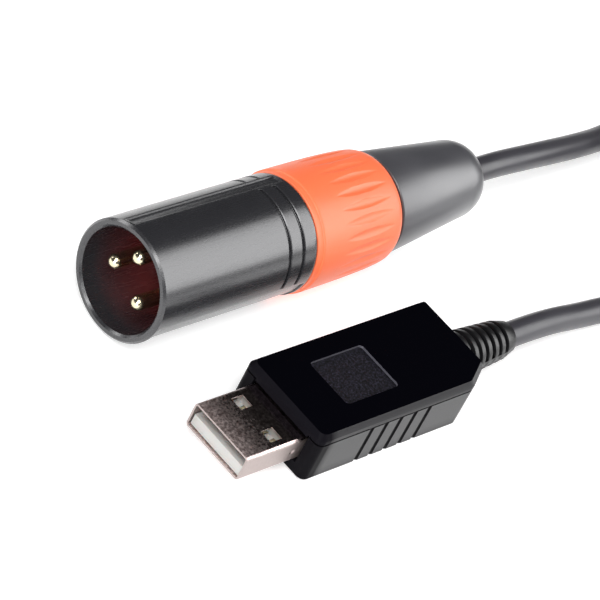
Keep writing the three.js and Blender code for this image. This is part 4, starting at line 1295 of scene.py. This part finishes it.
class LEAD_OT_boot(bpy.types.Operator):
    """Turn the tapered boot with its flange, neck and inner cone"""

    bl_idname = "lead.boot"
    bl_label = "Boot"

    def execute(self, context):
        boot = turned("gland", self.stations(), BOOT_SIDES, XLR_AXIS)
        round_edges(boot, sizes().edge_round)
        roll(boot)
        rubber = soft_rubber(
            "moulded_elastomer", colours().boot, (0.36, 0.5), 0.35, 0.012, sheen=1.0
        )
        finish_piece(boot, rubber, "boot_rubber", "boot", body="boot")
        return {"FINISHED"}

    def stations(self):
        flange_end = boot_low.x + BOOT_FLANGE_LENGTH
        front = flange_end + BOOT_NECK_LENGTH + BOOT_STANDOFF
        cone_end = boot_low.x + BOOT_CONE_LENGTH
        tail = boot_high.x - BOOT_END_ROUND
        stations = [
            (boot_low.x, BOOT_CONE_FRONT),
            (boot_low.x, BOOT_FLANGE_DIAMETER),
            (flange_end, BOOT_FLANGE_DIAMETER),
            (flange_end, BOOT_NECK_DIAMETER),
            (front, BOOT_NECK_DIAMETER),
        ]
        for back, down in BOOT_EDGE_PROFILE:
            stations.append((front + BOOT_EDGE * back, BOOT_FRONT_DIAMETER - 2 * BOOT_EDGE * down))
        for i in range(BOOT_END_STEPS + 1):
            turn = (1 - i / BOOT_END_STEPS) * math.pi / 2
            swell = (BOOT_REAR_DIAMETER - BOOT_MOUTH_DIAMETER) * math.sin(turn)
            stations.append((tail + BOOT_END_ROUND * math.cos(turn), BOOT_MOUTH_DIAMETER + swell))
        stations += [
            (boot_high.x, BOOT_BORE),
            (cone_end, BOOT_BORE),
            (cone_end, BOOT_CONE_BACK),
            (boot_low.x, BOOT_CONE_FRONT),
        ]
        return stations


# The USB plug and its case


def case_block(name, z0, z1, inset=0.0):
    """The case's plan between two heights, drawn in by an inset, its corners rounded."""
    low = Vector((case_low.x + inset, case_low.y + inset, z0))
    high = Vector((case_high.x - inset, case_high.y - inset, z1))
    block = box(name, low, high)
    middle = (low + high) / 2
    outward = Vector((CORNER_CUT.y, -CORNER_CUT.x, 0)).normalized()
    on_cut = Vector((case_high.x - CORNER_CUT.x, case_low.y, z0)) - outward * inset
    open_piece(block, "EDGE")
    bpy.ops.mesh.select_all(action="SELECT")
    bpy.ops.mesh.bisect(plane_co=on_cut, plane_no=outward, use_fill=True, clear_outer=True)
    front = max(FRONT_CORNER - inset, SMALL_CORNER)
    for end, radius in ((-1, front), (1, SMALL_CORNER)):
        select_edges(
            lambda a, b: abs(a.z - b.z) > (z1 - z0) / 2 and (a.x - middle.x) * end > 0
        )
        bevel_selected(radius)
    mend_normals()
    return close_piece()


def taper_face(piece, up, width, height):
    """Draws the case's top or bottom face out and in, which leaves a sloping band round it."""
    span = case_high - case_low
    open_piece(piece)
    select_faces(lambda place, normal: normal.z * up > FACING)
    extrude_selected((0, 0, up * height))
    factors = (1 - 2 * width / span.x, 1 - 2 * width / span.y, 1)
    scale_selected(factors, (case_low + case_high) / 2)
    close_piece()


def usb_box(name, x0, x1, width, z0, z1, aside=0.0):
    """A block between two places on X, even about the USB plug's axis or to one side of it."""
    low = Vector((x0, USB_AXIS.y + aside - width / 2, z0))
    high = Vector((x1, USB_AXIS.y + aside + width / 2, z1))
    return box(name, low, high)


class LEAD_OT_lid(bpy.types.Operator):
    """Model the case's glossy lid with its bevel, recess and snap lip"""

    bl_idname = "lead.lid"
    bl_label = "Case lid"

    def execute(self, context):
        lid = case_block("lid", LID_FOOT, case_high.z - LID_BEVEL_HEIGHT)
        taper_face(lid, 1, LID_BEVEL_WIDTH, LID_BEVEL_HEIGHT)
        self.sink_recess(lid)
        self.add_lip(lid)
        self.open_ends(lid)
        round_edges(lid, sizes().edge_round)
        self.give_finishes(lid)
        finish_piece(lid, None, "case_gloss", "usb_case_top", flat=True)
        return {"FINISHED"}

    def sink_recess(self, lid):
        floor = case_high.z - sizes().recess_depth
        x0 = case_low.x + RECESS_SETBACK
        x1 = x0 + RECESS_SIZE.x
        recess = usb_box("recess", x0, x1, RECESS_SIZE.y, floor, case_high.z + OVERCUT)
        open_piece(recess, "EDGE")
        select_edges(lambda a, b: abs(a.z - b.z) > NEARLY)
        bevel_selected(RECESS_CORNER)
        cut(lid, recess)

    def add_lip(self, lid):
        """A lip that snaps into the tray, and the lid's room"""
        inset = CASE_WALL + SEAM_GAP
        foot = LID_FOOT - LIP_HEIGHT
        combine(lid, case_block("lip", foot, LID_FOOT + SEAM_GAP, inset))
        ceiling = case_high.z - CASE_WALL
        cut(lid, case_block("room", foot - OVERCUT, ceiling, inset + SNAP_LIP))

    def open_ends(self, lid):
        """The plug's slot and the relief's round seat, each wall filled down to the seam"""
        width = plug_high.y - plug_low.y
        slot_top = plug_high.z + SEAM_GAP
        front = case_low.x - OVERCUT
        behind = plug_high.x + OVERCUT
        cut(lid, usb_box("slot", front, behind, width + 2 * SEAM_GAP, 0, slot_top))
        seat = LID_FOOT + SEAM_GAP
        wall_end = case_low.x + CASE_WALL
        combine(lid, usb_box("tab", case_low.x, wall_end, width, slot_top, seat))
        back = case_high.x - CASE_WALL
        combine(lid, usb_box("tab", back, case_high.x, RELIEF_NECK, USB_AXIS.z, seat))
        hole = RELIEF_NECK + 2 * SEAM_GAP
        cut(lid, rod("hole", back - OVERCUT, case_high.x + OVERCUT, hole))
        flange = back - RELIEF_FLANGE - 2 * SEAM_GAP
        cut(lid, rod("flange_room", flange, back, RELIEF_FLANGE_DIAMETER + 2 * SEAM_GAP))

    def give_finishes(self, lid):
        """Satin all over, then the recess's edge, lighter as a painted highlight, the glossy top
        and the recess's floor
        """
        floor = case_high.z - sizes().recess_depth
        x = case_low.x + RECESS_SETBACK + RECESS_SIZE.x / 2
        highlight_reach = sizes().edge_round * RECESS_HIGHLIGHT_REACH
        lid.data.materials.append(satin_abs("satin_lid", colours().band, 0.25))
        # The recess's edge gets a lighter satin: a painted highlight
        self.give_finish(
            lid,
            satin_abs("worn_edge", colours().edge, 0.5),
            lambda place, normal: place.z > floor - NEARLY
            and abs(place.x - x) < RECESS_SIZE.x / 2 + highlight_reach
            and abs(place.y - USB_AXIS.y) < RECESS_SIZE.y / 2 + highlight_reach,
        )
        for material, level in ((polished_abs(), case_high.z), (speckled_recess(), floor)):
            self.give_finish(
                lid,
                material,
                lambda place, normal: normal.z > FACING and abs(place.z - level) < NEARLY,
            )

    def give_finish(self, lid, material, test):
        """Gives the faces that pass the test a finish of their own"""
        lid.data.materials.append(material)
        open_piece(lid)
        select_faces(test)
        lid.active_material_index = len(lid.data.materials) - 1
        bpy.ops.object.material_slot_assign()
        close_piece()


class LEAD_OT_tray(bpy.types.Operator):
    """Model the case's lower half with its rails, pad, passages and grip grooves"""

    bl_idname = "lead.tray"
    bl_label = "Case tray"

    def execute(self, context):
        above = tray_high.z + OVERCUT
        tray = case_block("tray", FOOT_BEVEL, tray_high.z)
        taper_face(tray, -1, FOOT_BEVEL, FOOT_BEVEL)
        cut(tray, case_block("room", CASE_WALL, above, CASE_WALL))
        self.add_supports(tray)
        self.open_ends(tray, above)
        self.cut_grips(tray)
        round_edges(tray, sizes().edge_round)
        satin = satin_abs("satin_tray", colours().tray, 0.45)
        finish_piece(tray, satin, "case_satin", "usb_case_bottom", flat=True)
        return {"FINISHED"}

    def add_supports(self, tray):
        """Two rails under the board and a pad under the plug, all rooted in the floor"""
        board_low, board_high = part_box("circuit_board")
        root = CASE_WALL / 2
        x0 = board_low.x + RAIL_INSET
        x1 = board_high.x - RAIL_INSET
        rail_top = board_low.z - SEAM_GAP
        for side in (-1, 1):
            aside = side * ((board_high.y - board_low.y) / 2 - RAIL_INSET)
            combine(tray, usb_box("rail", x0, x1, RAIL_WIDTH, root, rail_top, aside))
        x0 = case_low.x + PAD_SETBACK
        width = plug_high.y - plug_low.y - 2 * RAIL_INSET
        pad_top = plug_low.z - SEAM_GAP
        combine(tray, usb_box("pad", x0, x0 + PAD_LENGTH, width, root, pad_top))

    def open_ends(self, tray, above):
        """Upright slots for the plug and for the relief's round neck"""
        x0 = case_low.x - OVERCUT
        x1 = case_low.x + CASE_WALL + SEAM_GAP
        width = plug_high.y - plug_low.y + 2 * SEAM_GAP
        cut(tray, usb_box("slot", x0, x1, width, plug_low.z - SEAM_GAP, above))
        x0 = case_high.x - CASE_WALL - SEAM_GAP
        x1 = case_high.x + OVERCUT
        width = RELIEF_NECK + 2 * SEAM_GAP
        cut(tray, usb_box("slot", x0, x1, width, USB_AXIS.z, above))
        cut(tray, rod("slot_floor", x0, x1, width))

    def cut_grips(self, tray):
        """One upright rod, repeated along each side"""
        x = case_low.x + GRIP_SETBACK
        outward = GRIP_RADIUS - sizes().grip_depth
        for y in (case_low.y - outward, case_high.y + outward):
            deselect()
            bpy.ops.mesh.primitive_cylinder_add(
                vertices=GRIP_SIDES,
                radius=GRIP_RADIUS,
                depth=tray_high.z + 2 * OVERCUT,
                location=(x, y, tray_high.z / 2),
                enter_editmode=True,
            )
            grip = close_piece("grip")
            apply_modifier(
                grip,
                "ARRAY",
                count=GRIP_COUNT,
                use_relative_offset=False,
                use_constant_offset=True,
                constant_offset_displace=(GRIP_PITCH, 0, 0),
            )
            cut(tray, grip)


class LEAD_OT_plug(bpy.types.Operator):
    """Model the USB plug's folded shell, its insulator and its four contacts"""

    bl_idname = "lead.plug"
    bl_label = "USB plug"

    def execute(self, context):
        self.add_shell()
        insulator = merged_copy("usb_plug_insulator", "insulator")
        round_edges(insulator, sizes().edge_round / 2)
        finish_piece(insulator, ivory_pbt(), "white_plastic", "usb_plug_insulator")
        self.add_contacts()
        return {"FINISHED"}

    def add_shell(self):
        front, back = plug_low.x, plug_high.x
        shell = self.sleeve("plug_sleeve", front, back, 0.0)
        cut(shell, self.sleeve("hollow", front - OVERCUT, back + OVERCUT, PLUG_SHEET))
        x0 = front + WINDOW_SETBACK - WINDOW_SIZE / 2
        x1 = x0 + WINDOW_SIZE
        below = plug_low.z - OVERCUT
        above = plug_high.z + OVERCUT
        for side in (-1, 1):
            aside = side * WINDOW_SPACING / 2
            cut(shell, usb_box("window", x0, x1, WINDOW_SIZE, below, above, aside))
        self.dimple_sides(shell)
        groove = plug_low.z + PLUG_SHEET / 2
        cut(shell, usb_box("seam", front - OVERCUT, back + OVERCUT, SEAM_LINE, below, groove))
        round_edges(shell, sizes().edge_round / 2)
        finish_piece(shell, nickel_sheet(), "nickel_plate", "usb_plug_shell", flat=True)

    def sleeve(self, name, x0, x1, inset):
        """A bar along X whose section is the plug's rounded rectangle, drawn in by an inset"""
        low = Vector((x0, plug_low.y + inset, plug_low.z + inset))
        high = Vector((x1, plug_high.y - inset, plug_high.z - inset))
        bar = box(name, low, high)
        open_piece(bar, "EDGE")
        select_edges(lambda a, b: abs(a.x - b.x) > NEARLY)
        bevel_selected(PLUG_CORNER - inset)
        return close_piece()

    def dimple_sides(self, shell):
        x = case_low.x - DIMPLE_SETBACK
        outward = DIMPLE_SPHERE - DIMPLE_DEPTH
        for y in (plug_low.y - outward, plug_high.y + outward):
            deselect()
            bpy.ops.mesh.primitive_uv_sphere_add(
                segments=DIMPLE_SIDES,
                ring_count=DIMPLE_SIDES // 2,
                radius=DIMPLE_SPHERE,
                location=(x, y, USB_AXIS.z),
                enter_editmode=True,
            )
            cut(shell, close_piece("dimple"))

    def add_contacts(self):
        """One contact, copied to the place of each"""
        first_low, first_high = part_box("usb_contact_1")
        master = box("contact", first_low, first_high)
        round_edges(master, sizes().edge_round / 2)
        for number in range(1, 5):
            node = f"usb_contact_{number}"
            contact = copied(master, f"contact_{number}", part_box(node)[0] - first_low)
            finish_piece(contact, bpy.data.materials["gold_plate"], "gold_plate", node)
        bpy.data.objects.remove(master)


class LEAD_OT_relief(bpy.types.Operator):
    """Turn the strain relief's flange and ribs and join its two side webs"""

    bl_idname = "lead.relief"
    bl_label = "Strain relief"

    def execute(self, context):
        start = case_high.x + SEAM_GAP
        end = start + RELIEF_PITCH * RELIEF_RIBS
        relief = turned("ribs", self.stations(start, end), RELIEF_SIDES, USB_AXIS, caps=True)
        combine(relief, self.model_web(start, end))
        round_edges(relief, FINE_ROUND, angle=40)
        finish_piece(relief, ribbed_pvc(), "relief_rubber", "strain_relief")
        return {"FINISHED"}

    def outside(self, along):
        """The ribs' diameter, which narrows from the case to the collar"""
        share = along / (RELIEF_PITCH * RELIEF_RIBS)
        return RELIEF_FRONT_DIAMETER + (RELIEF_RIB_DIAMETER - RELIEF_FRONT_DIAMETER) * share

    def stations(self, start, end):
        flange_end = relief_low.x + RELIEF_FLANGE
        stations = [
            (relief_low.x, RELIEF_FLANGE_DIAMETER),
            (flange_end, RELIEF_FLANGE_DIAMETER),
            (flange_end, RELIEF_NECK),
            (start, RELIEF_NECK),
        ]
        for i in range(RELIEF_RIBS):
            along = i * RELIEF_PITCH
            rear = along + RELIEF_RIB
            stations += [
                (start + along, self.outside(along)),
                (start + rear, self.outside(rear)),
                (start + rear, RELIEF_CORE),
                (start + along + RELIEF_PITCH, RELIEF_CORE),
            ]
        stations += [
            (end, self.outside(end - start)),
            (relief_high.x, RELIEF_END_DIAMETER),
        ]
        return stations

    def model_web(self, start, end):
        """A flat web through the axis that reaches just inside the ribs on both sides"""
        front = self.outside(0)
        width = front * math.cos(RELIEF_WEB / RELIEF_FRONT_DIAMETER)
        half = RELIEF_WEB / 2
        web = usb_box("web", start, end, width, USB_AXIS.z - half, USB_AXIS.z + half)
        open_piece(web)
        select_faces(lambda place, normal: normal.x > FACING)
        factor = self.outside(end - start) / front
        scale_selected((1, factor, 1), USB_AXIS)
        return close_piece()


class LEAD_OT_inner(bpy.types.Operator):
    """Give the pieces inside the plugs their finishes; they keep the frame's shapes"""

    bl_idname = "lead.inner"
    bl_label = "Inner pieces"

    def execute(self, context):
        jacket = bpy.data.materials["pvc_jacket"]
        chip = plain_moulding("chip_epoxy", "#1b1b1e", 0.5)
        buff = plain_moulding("capacitor_ceramic", "#b59a72", 0.4)
        self.dress(circuit_board_laminate(), "circuit_board")
        self.dress(chip, "usb_serial_chip", "rs485_transceiver_chip", "resistor_1", "resistor_2")
        self.dress(buff, "capacitor_1", "capacitor_2", "capacitor_3")
        self.dress(plain_moulding("grey_acetal", "#8b8b88", 0.5), "cable_chuck")
        self.dress(jacket, "xlr_cable_end", "usb_cable_end")
        for number, code in enumerate(("#b3262a", "#e6e6e2", "#5a5a5c"), 1):
            coat = plain_moulding(f"wire_pvc_{number}", code, 0.4)
            self.dress(coat, f"xlr_wire_{number}", f"usb_wire_{number}")
        return {"FINISHED"}

    def dress(self, material, *names):
        for name in names:
            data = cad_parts[name].data
            data.materials.clear()
            data.materials.append(material)


OPERATORS = [
    LEAD_OT_stage,
    LEAD_OT_cable,
    LEAD_OT_xlr_shell,
    LEAD_OT_insert,
    LEAD_OT_ring,
    LEAD_OT_boot,
    LEAD_OT_lid,
    LEAD_OT_tray,
    LEAD_OT_plug,
    LEAD_OT_relief,
    LEAD_OT_inner,
]


class LEAD_PT_panel(bpy.types.Panel):
    """A button for each step, in the 3D view's sidebar"""

    bl_idname = "LEAD_PT_panel"
    bl_label = "Lighting Lead"
    bl_space_type = "VIEW_3D"
    bl_region_type = "UI"
    bl_category = "Lighting Lead"

    def draw(self, context):
        for operator in OPERATORS:
            self.layout.operator(operator.bl_idname)


CLASSES = [LEAD_PG_sizes, LEAD_PG_colours, *OPERATORS, LEAD_PT_panel]


def register():
    for cls in CLASSES:
        bpy.utils.register_class(cls)
    bpy.types.Scene.lead_sizes = bpy.props.PointerProperty(type=LEAD_PG_sizes)
    bpy.types.Scene.lead_colours = bpy.props.PointerProperty(type=LEAD_PG_colours)


def unregister():
    del bpy.types.Scene.lead_colours
    del bpy.types.Scene.lead_sizes
    for cls in reversed(CLASSES):
        bpy.utils.unregister_class(cls)


def main():
    register()
    for operator in OPERATORS:
        step = operator.bl_idname.removeprefix("lead.")
        getattr(bpy.ops.lead, step)()


if __name__ == "__main__":
    main()
